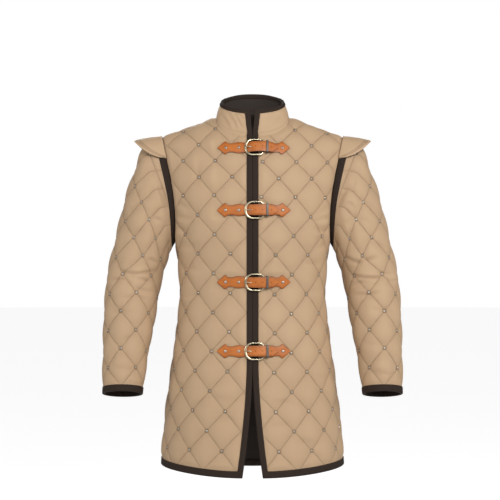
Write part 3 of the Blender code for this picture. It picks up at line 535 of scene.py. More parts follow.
    def neck_stations(self, low: float, count: int) -> Array:
        """The neck seam from the shoulder to the middle, seen from the front or the back.

        Args:
            low: Its level in the middle.
            count: How many stations it has.

        Returns:
            The stations' x and z.
        """
        s = self.sizes
        turns = np.linspace(math.pi / 2, 0, count)
        x = s.neck_half * np.abs(np.sin(turns)) ** (2 / s.neck_power)
        z = s.neck_side - (s.neck_side - low) * np.abs(np.cos(turns)) ** (2 / s.neck_power)
        return np.stack((x, z), axis=1)

    def shoulder_stations(self, count: int) -> Array:
        """The shoulder seam between the armhole and the neck."""
        x = np.linspace(self.sizes.armhole_out[-1], self.sizes.neck_half, count)
        return np.stack((x, self.ridge(x)), axis=1)[1:-1]

    def closure_up(self, level: float) -> float:
        """How far up the flat front a closure at a level lies.

        Args:
            level: Its level on the worn front.

        Returns:
            The length up.
        """
        if level > self.sizes.armpit:
            return float(self.front_flats([(0.0, level)])[0, 1])
        return float(self.front.flat(self.low_row(level), 0)[0, 1])


# Flat cuts


class Cut:
    """The finished outline of a piece on the flat, counter-clockwise, as named edges."""

    def __init__(self, form: WornForm, edges: list[tuple[str, Array]]) -> None:
        """Join the edges.

        Args:
            form: The worn form that the piece is laid on.
            edges: Each edge's name and stations, both ends included.
        """
        self.form = form
        self.points = np.vstack([np.asarray(stations)[:-1] for _, stations in edges])
        self.edge_of = [name for name, stations in edges for _ in range(len(stations) - 1)]

    @property
    def area(self) -> float:
        """The flat area."""
        x, y = self.points.T
        return 0.5 * abs(float(x @ np.roll(y, -1) - y @ np.roll(x, -1)))

    @property
    def flat_size(self) -> tuple[float, float]:
        """The width and length of the flat piece."""
        span = self.points.max(axis=0) - self.points.min(axis=0)
        return float(span[0]), float(span[1])

    def moved_in(self, distances: dict[str, float]) -> Array:
        """The outline moved inwards.

        Args:
            distances: One distance for each named edge.

        Returns:
            The new outline.
        """
        ways = np.roll(self.points, -1, axis=0) - self.points
        inward = unit(np.stack((-ways[:, 1], ways[:, 0]), axis=1))
        moves = np.array([distances.get(name, 0.0) for name in self.edge_of])
        moved = []
        for i, here in enumerate(self.points):
            n1, n2, d1, d2 = inward[i - 1], inward[i], moves[i - 1], moves[i]
            turn = n1[0] * n2[1] - n1[1] * n2[0]
            if abs(turn) < 0.2:
                middle = unit(n1 + n2)
                moved.append(here + middle * (d1 + d2) / 2 / float(middle @ n1))
            else:
                x = (d1 * n2[1] - d2 * n1[1]) / turn
                y = (n1[0] * d2 - n2[0] * d1) / turn
                moved.append(here + np.array((x, y)))
        return np.array(moved)

    def along(self, line: Array, edge: str) -> Array:
        """The stations of one edge on a moved outline, both ends included."""
        picked = [i for i, name in enumerate(self.edge_of) if name == edge]
        return line[[*picked, (picked[-1] + 1) % len(line)]]


def clearance(points: Array, start: Array, end: Array) -> Array:
    """How far points are from the nearest of some straight steps.

    Args:
        points: The points.
        start: Where each step starts.
        end: Where each step ends.

    Returns:
        The distance of each point.
    """
    nearest = np.full(len(points), np.inf)
    for a, b in zip(start, end):
        side = b - a
        t = np.clip((points - a) @ side / max(side @ side, 1e-18), 0, 1)
        nearest = np.minimum(nearest, np.linalg.norm(a + t[:, None] * side - points, axis=1))
    return nearest


def within(points: Array, outline: Array) -> Array:
    """Whether each point lies inside an outline.

    Args:
        points: The points.
        outline: The outline.

    Returns:
        True for each point inside.
    """
    inside = np.zeros(len(points), bool)
    for a, b in zip(outline, np.roll(outline, -1, axis=0)):
        if a[1] == b[1]:
            continue
        spans = (a[1] > points[:, 1]) != (b[1] > points[:, 1])
        at = a[0] + (points[:, 1] - a[1]) / (b[1] - a[1]) * (b[0] - a[0])
        inside ^= spans & (points[:, 0] < at)
    return inside


def clear_inside(points: Array, outline: Array, clear: float) -> Array:
    """The points that lie inside an outline and further than a distance from it."""
    points = points[within(points, outline)]
    return points[clearance(points, outline, np.roll(outline, -1, axis=0)) > clear]


def fill_outline(rim: Array, spots: Array) -> Array:
    """Triangles that fill an outline through inner points.

    Args:
        rim: The outline.
        spots: Points inside it.

    Returns:
        Triangles of indices into the rim followed by the spots.
    """
    count = len(rim)
    edges = [(i, (i + 1) % count) for i in range(count)]
    points = [Vector(p) for p in np.vstack((rim, spots)).tolist()]
    found = delaunay_2d_cdt(points, edges, [list(range(count))], 1, 1e-8)
    order = [source[0] for source in found[3]]
    return np.array([[order[v] for v in face] for face in found[2]])


# Quilting and folds


@dataclass(frozen=True)
class Lattice:
    """The quilting on the flat.

    Attributes:
        across: Half a diamond across.
        up: Half a diamond up.
        corner: A corner of a diamond.
        drift: Lengths up, and how far the quilting lies off its even rows there, in millimetres.
        spread: Lengths up in millimetres, and how many times wider the diamonds there are.
    """

    across: float
    up: float
    corner: tuple[float, float]
    drift: tuple[tuple[float, float, float], ...] = ((0, 0, 0),)
    spread: tuple[tuple[float, float], ...] = ((0, 1),)

    def drifted(self, ups: Array) -> Array:
        """How far the quilting lies off its even rows."""
        levels, across, up = np.array(self.drift, float).T * MM
        return np.stack((np.interp(ups, levels, across), np.interp(ups, levels, up)), axis=1)

    def widened(self, ups: Array) -> Array:
        """How many times wider the diamonds are at lengths up, as factors across and up."""
        levels, factors = np.array(self.spread, float).T
        return np.stack((np.interp(ups, levels * MM, factors), np.ones(len(ups))), axis=1)

    def steps(self, flats: Array) -> Array:
        """Flat points counted in diamonds.

        Args:
            flats: The points.

        Returns:
            Their steps along the two ways of the stitch lines.
        """
        flats = flats / self.widened(flats[:, 1])
        even = flats
        for _ in range(DRIFT_ROUNDS):
            even = flats - self.drifted(even[:, 1])
        i = (even[:, 0] - self.corner[0]) / self.across
        j = (even[:, 1] - self.corner[1]) / self.up
        return np.stack(((i + j) / 2, (i - j) / 2), axis=1)

    def flats(self, steps: Array) -> Array:
        """Flat points from their steps.

        Args:
            steps: Steps along the two ways of the stitch lines.

        Returns:
            Lengths across and up.
        """
        across = self.corner[0] + self.across * (steps[:, 0] + steps[:, 1])
        up = self.corner[1] + self.up * (steps[:, 0] - steps[:, 1])
        flats = np.stack((across, up), axis=1) + self.drifted(up)
        return flats * self.widened(flats[:, 1])

    @property
    def diamond_side(self) -> float:
        """The distance between stitch lines that run the same way."""
        return 2 * self.across * self.up / math.hypot(self.across, self.up)

    def grid(self, outline: Array, stops: Array) -> Array:
        """Points over an outline's reach, at the same stops in each diamond.

        Args:
            outline: The outline to cover.
            stops: Shares of a diamond, from 0 to below 1.

        Returns:
            Flat points.
        """
        low, high = outline.min(axis=0), outline.max(axis=0)
        corners = np.array([(x, y) for x in (low[0], high[0]) for y in (low[1], high[1])])
        span = self.steps(corners)
        first, last = np.floor(span.min(axis=0)) - 1, np.ceil(span.max(axis=0)) + 1
        lines = [np.add.outer(np.arange(first[k], last[k]), stops).ravel() for k in (0, 1)]
        u, v = np.meshgrid(*lines, indexing="ij")
        flats = self.flats(np.stack((u.ravel(), v.ravel()), axis=1))
        kept = np.all((flats > low) & (flats < high), axis=1)
        return flats[kept]


FRONT_LATTICES = {
    Side.LEFT: Lattice(0.044, 0.050, (0.0595, -0.029), (
        (-530, -10, -1.5), (-380, -6.6, -2.6), (-230, -3.5, -3.5), (-130, -4, -5.5), (-30, -1, -5.5),
        (20, 1.5, -7), (70, 5.5, -8), (120, 6.6, -8), (170, 7.5, -9.5), (220, 10, -16), (270, 9, -20),
    )),
    Side.RIGHT: Lattice(0.044, 0.050, (0.0595, -0.029), (
        (-530, 2, 0), (-430, 4, -0.5), (-330, 4, 0), (-230, 0.5, 0), (-130, -2.3, -2), (-30, -3, -2),
        (20, -6, -2.5), (70, -4, -3), (120, -5, -2.5), (170, -7.3, -5), (220, -7, -12), (270, -5, -17),
    )),
}
BACK_LATTICE = Lattice(0.044, 0.050, (0.0, -0.029))
SLEEVE_LATTICE = Lattice(
    0.0405, 0.0480, (0.0, 0.034), spread=((322, 1), (370, 1.1), (430, 1.24), (500, 1.27)))
HALF_STOPS = np.array((0.0, 0.012, 0.030, 0.055, 0.090, 0.135, 0.190, 0.260, 0.340, 0.420))
STOPS = np.concatenate((HALF_STOPS, [0.5], 1 - HALF_STOPS[:0:-1]))


@dataclass(frozen=True)
class Fold:
    """A soft crease from one place to another, seen from the front on the wearer's left.

    Attributes:
        start: Its first end, as x and z.
        end: Its other end.
        width: How far it reaches to each side.
        depth: How deep it lies; below 0 it is a ridge.
        bow: How far its middle swings from the straight line.
        face: Which side of the garment it is on.
    """

    start: tuple[float, float]
    end: tuple[float, float]
    width: float
    depth: float
    bow: float = 0.0
    face: Face = Face.FRONT

    STEEPER = 1.7
    RIDGE = 0.42
    RIDGE_AT = 1.5
    TAPER = 0.7

    def rise(self, worn: Array, outward: Array) -> Array:
        """How far the fold moves the cloth out at worn points.

        Args:
            worn: The points.
            outward: The directions out of the cloth there.

        Returns:
            The distances, below 0 in a trough.
        """
        seen = worn[:, (0, 2)]
        first, last = np.array(self.start), np.array(self.end)
        way = last - first
        across = unit(np.array((-way[1], way[0])))
        t = (seen - first) @ way / (way @ way)
        off = ((seen - first) @ across - self.bow * 4 * t * (1 - t)) / self.width
        trough = bell(np.where(off > 0, off * self.STEEPER, off), 1.0)
        trough -= self.RIDGE * bell(off - self.RIDGE_AT, 1.0)
        taper = np.sin(math.pi * np.clip(t, 0, 1)) ** self.TAPER
        facing = eased(0.15 + self.face.value * outward[:, 1] * 2.2)
        return -self.depth * FOLD_STRENGTH * trough * taper * facing


def folds(face: Face, rows: list[Row]) -> list[Fold]:
    """Folds from a table of x, z, x, z, width, depth and bow in millimetres.

    Args:
        face: The side of the garment that they are on.
        rows: One row for each fold.

    Returns:
        The folds.
    """
    made = []
    for x0, z0, x1, z1, width, depth, bow in rows:
        ends = ((x0 * MM, z0 * MM), (x1 * MM, z1 * MM))
        made.append(Fold(*ends, width * MM, depth * MM, bow * MM, face))
    return made


# Meshes


def new_piece(
    name: str,
    points: Array,
    faces: list | Array,
    finishes: list[Material],
    flats: Array | None = None,
    shade_and_burnish: Array | None = None,
    finish_of: Array | None = None,
    side: Side = Side.LEFT,
    sharp: float = 50.0,
) -> Object:
    """A piece of the gambeson from points and faces.

    Args:
        name: The piece's name.
        points: Its points, made on the wearer's left.
        faces: Its faces, seen from outside.
        finishes: Its materials.
        flats: Each point's place on the flat cloth, in metres.
        shade_and_burnish: For cloth, how much painted shade each point takes in grooves, down puffs and
            round studs; for leather, how much burnished edge colour; 0 to 1.
        finish_of: Which of its materials each face takes.
        side: The side it is put on.
        sharp: The angle past which an edge stays sharp, in degrees.

    Returns:
        The object.
    """
    mesh = bpy.data.meshes.new(name)
    faces = [tuple(int(v) for v in face) for face in faces]
    mesh.from_pydata(side.put(points).tolist(), [], faces)
    if side is Side.RIGHT:
        mesh.flip_normals()
    for finish in finishes:
        mesh.materials.append(finish)
    if finish_of is not None:
        mesh.polygons.foreach_set("material_index", np.asarray(finish_of, np.int32))
    if flats is not None:
        corners = np.empty(len(mesh.loops), np.int32)
        mesh.loops.foreach_get("vertex_index", corners)
        layer = mesh.uv_layers.new(name="flat")
        layer.uv.foreach_set("vector", np.asarray(flats, np.float32)[corners].ravel())
    if shade_and_burnish is not None:
        layer = mesh.attributes.new("shade_and_burnish", "FLOAT", "POINT")
        layer.data.foreach_set("value", np.asarray(shade_and_burnish, np.float32))
    mesh.shade_smooth()
    mesh.set_sharp_from_angle(angle=math.radians(sharp))
    piece = bpy.data.objects.new(name, mesh)
    bpy.context.scene.collection.objects.link(piece)
    return piece


def outwards(piece: Object) -> Object:
    """The same closed piece with its faces turned outwards.

    Args:
        piece: The piece.

    Returns:
        The piece.
    """
    mesh = bmesh.new()
    mesh.from_mesh(piece.data)
    bmesh.ops.recalc_face_normals(mesh, faces=mesh.faces)
    if mesh.calc_volume(signed=True) < 0:
        bmesh.ops.reverse_faces(mesh, faces=mesh.faces)
    mesh.to_mesh(piece.data)
    mesh.free()
    return piece


def loft_faces(stations: int, around: int, closed: bool) -> list[tuple[int, ...]]:
    """Faces of a body lofted through closed sections.

    Args:
        stations: How many sections it has.
        around: How many points each section has.
        closed: Whether the last section joins the first.

    Returns:
        The faces, with two end faces on an open loft.
    """
    faces = []
    for s in range(stations if closed else stations - 1):
        t = (s + 1) % stations
        for k in range(around):
            j = (k + 1) % around
            faces.append((s * around + k, t * around + k, t * around + j, s * around + j))
    if not closed:
        faces.append(tuple(range(around)))
        faces.append(tuple((stations - 1) * around + k for k in reversed(range(around))))
    return faces


def loft_piece(
    name: str,
    lines: list[Array],
    flats: list[Array],
    closed: bool,
    finish: Material,
    side: Side = Side.LEFT,
    shade_and_burnish: Array | None = None,
) -> Object:
    """A piece made of lines that run along it.

    Args:
        name: Its name.
        lines: Its lines of points, in order round its section.
        flats: Each line's places on the flat cloth.
        closed: Whether its two ends join.
        finish: Its material.
        side: The side it is put on.
        shade_and_burnish: How much of its material's dark colour each point takes, painted shade on cloth
            and a burnished edge on leather, station by station.

    Returns:
        The piece.
    """
    points = np.array(lines).transpose(1, 0, 2)
    faces = loft_faces(len(points), points.shape[1], closed)
    flats = np.array(flats).transpose(1, 0, 2).reshape(-1, 2)
    return outwards(new_piece(name, points.reshape(-1, 3), faces, [finish], flats, shade_and_burnish, side=side))


def dress(piece: Object, slot: str, *nodes: str) -> Object:
    """Attach a piece to the body, hide the CAD nodes that it replaces, and log what it stands for.

    Args:
        piece: The piece.
        slot: The record's material slot; not used.
        *nodes: The CAD nodes that it replaces.

    Returns:
        The piece.
    """
    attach(piece, BODY)
    if nodes:
        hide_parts(*nodes)
    LOG.info("%s: %d faces, stands for %s", piece.name, len(piece.data.polygons), nodes or "no node")
    return piece


# Finishes


NUMBER, VECTOR = "NodeSocketFloat", "NodeSocketVector"


class Graph:
    """A node tree with a short way to add nodes."""

    def __init__(self, tree: NodeTree) -> None:
        """Keep the tree."""
        self.tree = tree

    def add(self, kind: str, inputs: dict | None = None, **settings: object) -> bpy.types.Node:
        """Add a node.

        Args:
            kind: The node's type.
            inputs: Values or sockets for its inputs, by name or number.
            **settings: Its own settings.

        Returns:
            The node.
        """
        node = self.tree.nodes.new(kind)
        for key, value in settings.items():
            setattr(node, key, value)
        self.wire(node, inputs or {})
        return node

    def wire(self, node: bpy.types.Node, inputs: dict) -> None:
        """Set a node's inputs.

        Args:
            node: The node.
            inputs: Values or sockets, by the input's name or number.
        """
        for key, value in inputs.items():
            if isinstance(value, NodeSocket):
                self.tree.links.new(value, node.inputs[key])
            else:
                node.inputs[key].default_value = value

    def use(self, group: NodeTree, inputs: dict) -> bpy.types.bpy_prop_collection:
        """The outputs of a shared effect with these inputs."""
        return self.add("ShaderNodeGroup", inputs, node_tree=group).outputs

    def noise(self, vector: NodeSocket, scale: object, detail: float) -> NodeSocket:
        """A soft noise."""
        inputs = {"Vector": vector, "Scale": scale, "Detail": detail}
        return self.add("ShaderNodeTexNoise", inputs).outputs[0]

    def shade_and_burnish(self) -> NodeSocket:
        """How much of its material's dark colour a place takes: painted shade on cloth, a burnished edge on
        leather.
        """
        return self.add("ShaderNodeAttribute", attribute_name="shade_and_burnish").outputs["Fac"]

    def math(self, operation: str, *values: object) -> NodeSocket:
        """Work out one number from others."""
        node = self.add("ShaderNodeMath", dict(enumerate(values)), operation=operation)
        return node.outputs[0]

    def blend(self, share: object, low: object, high: object) -> NodeSocket:
        """Mix two colours."""
        node = self.add("ShaderNodeMix", {0: share, 6: low, 7: high}, data_type="RGBA")
        return node.outputs[2]


def new_group(
    name: str, kind: str, inputs: list[tuple], outputs: list[tuple]
) -> tuple[NodeTree, Graph]:
    """A node group with named sockets.

    Args:
        name: Its name.
        kind: The tree's type.
        inputs: Each input's name, socket type and starting value, or None.
        outputs: Each output's name and socket type.

    Returns:
        The group, and its graph.
    """
    tree = bpy.data.node_groups.new(name, kind)
    for label, socket, value in inputs:
        made = tree.interface.new_socket(name=label, in_out="INPUT", socket_type=socket)
        if value is not None:
            made.default_value = value
    for label, socket in outputs:
        tree.interface.new_socket(name=label, in_out="OUTPUT", socket_type=socket)
    return tree, Graph(tree)


class Effects:
    """The effects that several finishes share, each a node group."""

    def __init__(self) -> None:
        """Build the groups."""
        self.weave = self.make_weave()
        self.mottle = self.make_mottle()
        self.grain = self.make_grain()

    def make_weave(self) -> NodeTree:
        """Twill threads on flat cloth.

        Returns:
            The group, which gives their height and a shade from thread to thread.
        """
        tree, graph = new_group(
            "twill weave", "ShaderNodeTree",
            [("Vector", VECTOR, None), ("Threads per metre", NUMBER, 900.0), ("Cross", NUMBER, 0.35)],
            [("Height", NUMBER), ("Shade", NUMBER)],
        )
        given = graph.add("NodeGroupInput").outputs
        parts = graph.add("ShaderNodeSeparateXYZ", {0: given["Vector"]}).outputs
        turn = graph.math("MULTIPLY", given["Threads per metre"], 2 * math.pi)
        diagonal, cross = (
            graph.math("SINE", graph.math("MULTIPLY", graph.math(way, parts[0], parts[1]), turn))
            for way in ("ADD", "SUBTRACT"))
        woven = graph.math("ADD", diagonal, graph.math("MULTIPLY", cross, given["Cross"]))
        slub = graph.noise(given["Vector"], 420.0, 2.0)
        height = graph.math("ADD", graph.math("MULTIPLY", woven, 0.35), slub)
        graph.add("NodeGroupOutput", {"Height": height, "Shade": slub})
        return tree

    def make_mottle(self) -> NodeTree:
        """A soft unevenness round one half.

        Returns:
            The group.
        """
        tree, graph = new_group(
            "soft mottle", "ShaderNodeTree",
            [("Vector", VECTOR, None), ("Scale", NUMBER, 9.0), ("Amount", NUMBER, 0.06)],
            [("Share", NUMBER)],
        )
        given = graph.add("NodeGroupInput").outputs
        noise = graph.noise(given["Vector"], given["Scale"], 4.0)
        low, high = (graph.math(way, 0.5, given["Amount"]) for way in ("SUBTRACT", "ADD"))
        share = graph.add("ShaderNodeMapRange", {0: noise, 1: 0.3, 2: 0.7, 3: low, 4: high}).outputs[0]
        graph.add("NodeGroupOutput", {"Share": share})
        return tree

    def make_grain(self) -> NodeTree:
        """Leather pebbles and pores.

        Returns:
            The group.
        """
        tree, graph = new_group(
            "leather grain", "ShaderNodeTree",
            [("Vector", VECTOR, None), ("Pebbles per metre", NUMBER, 900.0)],
            [("Height", NUMBER), ("Pores", NUMBER)],
        )
        given = graph.add("NodeGroupInput").outputs
        near = {"Vector": given["Vector"], "Scale": given["Pebbles per metre"]}
        pebbles = graph.add("ShaderNodeTexVoronoi", near, feature="SMOOTH_F1").outputs["Distance"]
        wide = graph.math("MULTIPLY", given["Pebbles per metre"], 0.12)
        creases = graph.noise(given["Vector"], wide, 6.0)
        graph.add("NodeGroupOutput", {"Height": graph.math("ADD", pebbles, creases), "Pores": creases})
        return tree


@dataclass(frozen=True)
class ClothFinish:
    """Woven cloth, with painted shade in its stitched grooves, down its puffs and round its studs."""

    name: str
    colour: tuple[float, float, float]
    shadow: tuple[float, float, float]
    roughness: float
    threads: float
    relief: float
    sheen: float = 0.0
    uneven: float = 0.10

    LIGHTER = 1.12
    DARKER = 0.86

    def material(self, effects: Effects) -> Material:
        """Build the material.

        Args:
            effects: The shared effects.

        Returns:
            The material.
        """
        made, graph, shader = blank_material(self.name)
        cloth = graph.add("ShaderNodeUVMap", uv_map="flat").outputs[0]
        place = graph.add("ShaderNodeTexCoord").outputs["Object"]
        weave = graph.use(effects.weave, {"Vector": cloth, "Threads per metre": self.threads})
        mottle = graph.use(effects.mottle, {"Vector": place, "Amount": self.uneven})
        light = (*(min(1.0, c * self.LIGHTER) for c in self.colour), 1.0)
        dark = (*(c * self.DARKER for c in self.colour), 1.0)
        base = graph.blend(mottle["Share"], dark, light)
        thread = graph.math("MULTIPLY", graph.math("SUBTRACT", weave["Shade"], 0.5), 0.35)
        base = graph.blend(graph.math("MAXIMUM", thread, 0.0), base, dark)
        # Painted shade: the colour goes to the shadow colour in grooves, down the puffs and round the studs.
        base = graph.blend(graph.shade_and_burnish(), base, (*self.shadow, 1.0))
        raised = {"Height": weave["Height"], "Distance": self.relief, "Strength": 0.6}
        graph.wire(shader, {
            "Base Color": base,
            "Normal": graph.add("ShaderNodeBump", raised).outputs[0],
            "Roughness": self.roughness,
            "Specular IOR Level": 0.3,
            "Sheen Weight": self.sheen,
            "Sheen Roughness": 0.4,
        })
        return made


@dataclass(frozen=True)
class LeatherFinish:
    """Tan leather with burnished edges."""

    name: str
    colour: tuple[float, float, float]
    worn: tuple[float, float, float]
    edge: tuple[float, float, float]
    roughness: float = 0.42

    def material(self, effects: Effects) -> Material:
        """Build the material.

        Args:
            effects: The shared effects.

        Returns:
            The material.
        """
        made, graph, shader = blank_material(self.name)
        place = graph.add("ShaderNodeTexCoord").outputs["Object"]
        grain = graph.use(effects.grain, {"Vector": place})
        mottle = graph.use(effects.mottle, {"Vector": place, "Scale": 60.0, "Amount": 0.45})
        base = graph.blend(mottle["Share"], (*self.colour, 1.0), (*self.worn, 1.0))
        base = graph.blend(graph.shade_and_burnish(), base, (*self.edge, 1.0))
        rough = graph.math("ADD", graph.math("MULTIPLY", grain["Pores"], 0.25), self.roughness - 0.12)
        raised = {"Height": grain["Height"], "Distance": 0.12 * MM, "Strength": 0.5}
        bump = graph.add("ShaderNodeBump", raised).outputs[0]
        graph.wire(shader, {"Base Color": base, "Roughness": rough, "Normal": bump})
        return made


@dataclass(frozen=True)
class MetalFinish:
    """Metal with a little tarnish."""

    name: str
    colour: tuple[float, float, float]
    tarnish: tuple[float, float, float]
    roughness: float

    def material(self, effects: Effects) -> Material:
        """Build the material.

        Args:
            effects: The shared effects.

        Returns:
            The material.
        """
        made, graph, shader = blank_material(self.name)
        place = graph.add("ShaderNodeTexCoord").outputs["Object"]
        share = graph.use(effects.mottle, {"Vector": place, "Scale": 45.0, "Amount": 0.2})["Share"]
        base = graph.blend(share, (*self.colour, 1.0), (*self.tarnish, 1.0))
        rough = graph.math("ADD", graph.math("MULTIPLY", share, 0.2), self.roughness - 0.1)
        graph.wire(shader, {"Base Color": base, "Roughness": rough, "Metallic": 1.0})
        return made


def blank_material(name: str) -> tuple[Material, Graph, bpy.types.Node]:
    """A new material, its graph and its shader.

    Args:
        name: Its name.

    Returns:
        The material, its graph and its shader.
    """
    made = bpy.data.materials.new(name)
    made.use_nodes = True
    return made, Graph(made.node_tree), made.node_tree.nodes["Principled BSDF"]


class Finishes:
    """Every finish of the gambeson, built once."""

    CLOTHS = {
        "drill": ClothFinish(
            "tan cotton drill", (0.50, 0.340, 0.205), (0.16, 0.095, 0.050), 0.66, 700.0, 0.10 * MM, 0.06),
        "lining": ClothFinish(
            "dark brown lining", (0.030, 0.021, 0.016), (0.012, 0.009, 0.007), 0.8, 600.0, 0.10 * MM),
        "tape": ClothFinish(
            "dark brown twill tape", (0.024, 0.0135, 0.0085), (0.010, 0.006, 0.004), 0.82, 480.0, 0.18 * MM,
            0.0, 0.25),
        "thread": ClothFinish(
            "tan thread", (0.40, 0.27, 0.16), (0.20, 0.12, 0.07), 0.6, 1500.0, 0.05 * MM),
        "tape_thread": ClothFinish(
            "dark brown thread", (0.060, 0.036, 0.024), (0.02, 0.012, 0.008), 0.6, 1500.0, 0.05 * MM),
        # Painted shade: the near black finish of the discs that stand for the straps' holes.
        "painted_shade": ClothFinish(
            "punched hole", (0.025, 0.010, 0.005), (0.01, 0.005, 0.003), 0.9, 300.0, 0.05 * MM),
    }
    LEATHER = LeatherFinish(
        "tan leather", (0.42, 0.114, 0.014), (0.54, 0.158, 0.022), (0.09, 0.024, 0.006), 0.48)
    BRASS = MetalFinish("pale antique brass", (0.80, 0.73, 0.55), (0.52, 0.43, 0.27), 0.28)
    NICKEL = MetalFinish("grey nickel", (0.58, 0.55, 0.50), (0.36, 0.32, 0.27), 0.34)
    AGED = MetalFinish("aged grey nickel", (0.21, 0.185, 0.165), (0.13, 0.11, 0.095), 0.58)

    def __init__(self) -> None:
        """Build the materials."""
        effects = Effects()
        cloths = {name: finish.material(effects) for name, finish in self.CLOTHS.items()}
        self.drill, self.lining, self.tape, self.thread, self.tape_thread, self.painted_shade = cloths.values()
        self.leather = self.LEATHER.material(effects)
        self.brass = self.BRASS.material(effects)
        self.nickel = self.NICKEL.material(effects)
        self.aged = self.AGED.material(effects)


# Small repeats


class Repeats:
    """Geometry Nodes trees that set studs and stitches along the cloth."""

    def __init__(self) -> None:
        """Build the trees."""
        self.studs = self.make("domed studs", 14, 8)
        self.stitches = self.make("thread stitches", 5, 4)

    def make(self, name: str, segments: int, rings: int) -> NodeTree:
        """A tree that sets one rounded shape on each point.

        Args:
            name: The tree's name.
            segments: The shape's segments round.
            rings: The shape's rings.

        Returns:
            The tree, whose named inputs are the shape's half sizes and its material.
        """
        shapes = "NodeSocketGeometry"
        tree, graph = new_group(
            name, "GeometryNodeTree",
            [
                ("Geometry", shapes, None), ("Half length", NUMBER, 0.003), ("Half width", NUMBER, 0.003),
                ("Rise", NUMBER, 0.002), ("Finish", "NodeSocketMaterial", None),
            ],
            [("Geometry", shapes)],
        )

        def first(kind: str, inputs: dict, **settings: object) -> NodeSocket:
            """A new node's first output."""
            return graph.add(kind, inputs, **settings).outputs[0]

        given = graph.add("NodeGroupInput").outputs
        ball = first("GeometryNodeMeshUVSphere", {"Segments": segments, "Rings": rings, "Radius": 1.0})
        size = first(
            "ShaderNodeCombineXYZ", {0: given["Half length"], 1: given["Half width"], 2: given["Rise"]})
        shape = first("GeometryNodeTransform", {"Geometry": ball, "Scale": size})
        along, facing = (
            first("GeometryNodeInputNamedAttribute", {"Name": label}, data_type="FLOAT_VECTOR")
            for label in ("along", "facing"))
        turn = first("FunctionNodeAlignRotationToVector", {"Vector": facing}, axis="Z")
        turn = first(
            "FunctionNodeAlignRotationToVector", {"Rotation": turn, "Vector": along},
            axis="X", pivot_axis="Z")
        spots = first("GeometryNodeMeshToPoints", {"Mesh": given["Geometry"]})
        placed = first(
            "GeometryNodeInstanceOnPoints", {"Points": spots, "Instance": shape, "Rotation": turn})
        real = first("GeometryNodeRealizeInstances", {"Geometry": placed})
        smooth = first("GeometryNodeSetShadeSmooth", {"Geometry": real})
        dressed = first("GeometryNodeSetMaterial", {"Geometry": smooth, "Material": given["Finish"]})
        graph.add("NodeGroupOutput", {"Geometry": dressed})
        return tree

    def lay(
        self,
        name: str,
        tree: NodeTree,
        spots: "Spots",
        sizes: tuple[float, float, float],
        finish: Material,
    ) -> Object:
        """One plain mesh of a tree's shapes on points.

        Args:
            name: The piece's name.
            tree: The tree that makes the shapes.
            spots: Where they lie and which way they face.
            sizes: Half length, half width and rise.
            finish: Their material.

        Returns:
            The piece.
        """
        mesh = bpy.data.meshes.new(f"{name} spots")
        mesh.from_pydata(spots.points.tolist(), [], [])
        for label, ways in (("facing", spots.facing), ("along", spots.along)):
            layer = mesh.attributes.new(label, "FLOAT_VECTOR", "POINT")
            layer.data.foreach_set("vector", np.asarray(ways, np.float32).ravel())
        carrier = bpy.data.objects.new(f"{name} carrier", mesh)
        bpy.context.scene.collection.objects.link(carrier)
        modifier = carrier.modifiers.new("repeat", "NODES")
        modifier.node_group = tree
        values = {"Half length": sizes[0], "Half width": sizes[1], "Rise": sizes[2], "Finish": finish}
        for socket in tree.interface.items_tree:
            if socket.in_out == "INPUT" and socket.name in values:
                modifier[socket.identifier] = values[socket.name]
        graph = bpy.context.evaluated_depsgraph_get()
        made = bpy.data.meshes.new_from_object(carrier.evaluated_get(graph), depsgraph=graph)
        made.name = name
        carrier.modifiers.remove(modifier)
        bpy.data.objects.remove(carrier, do_unlink=True)
        piece = bpy.data.objects.new(name, made)
        bpy.context.scene.collection.objects.link(piece)
        return piece


@dataclass
class Spots:
    """Places on the garment, with the way out of the cloth and a way along it."""

    points: Array
    facing: Array
    along: Array

    def put(self, side: Side) -> "Spots":
        """The same places on a side."""
        return Spots(side.put(self.points), side.put(self.facing), side.put(self.along))

    def with_more(self, other: "Spots") -> "Spots":
        """These places and others."""
        pairs = ((self.points, other.points), (self.facing, other.facing), (self.along, other.along))
        return Spots(*(np.vstack(pair) for pair in pairs))


def dotted(outline: Array, step: float) -> Array:
    """A closed outline with more points on it.

    Args:
        outline: The outline.
        step: The longest step that it may have.

    Returns:
        The new outline.
    """
    dots = []
    for a, b in zip(outline, np.roll(outline, -1, axis=0)):
        count = max(1, math.ceil(np.linalg.norm(b - a) / step))
        dots += [a + (b - a) * k / count for k in range(count)]
    return np.array(dots)


def square_grid(outline: Array, step: float) -> Array:
    """Square grid points over an outline's reach.

    Args:
        outline: The outline.
        step: The distance between the points.

    Returns:
        The points.
    """
    low, high = outline.min(axis=0), outline.max(axis=0)
    lines = [np.arange(low[k], high[k], step) for k in (0, 1)]
    x, y = np.meshgrid(*lines, indexing="ij")
    return np.stack((x.ravel(), y.ravel()), axis=1)


# Cloth pieces


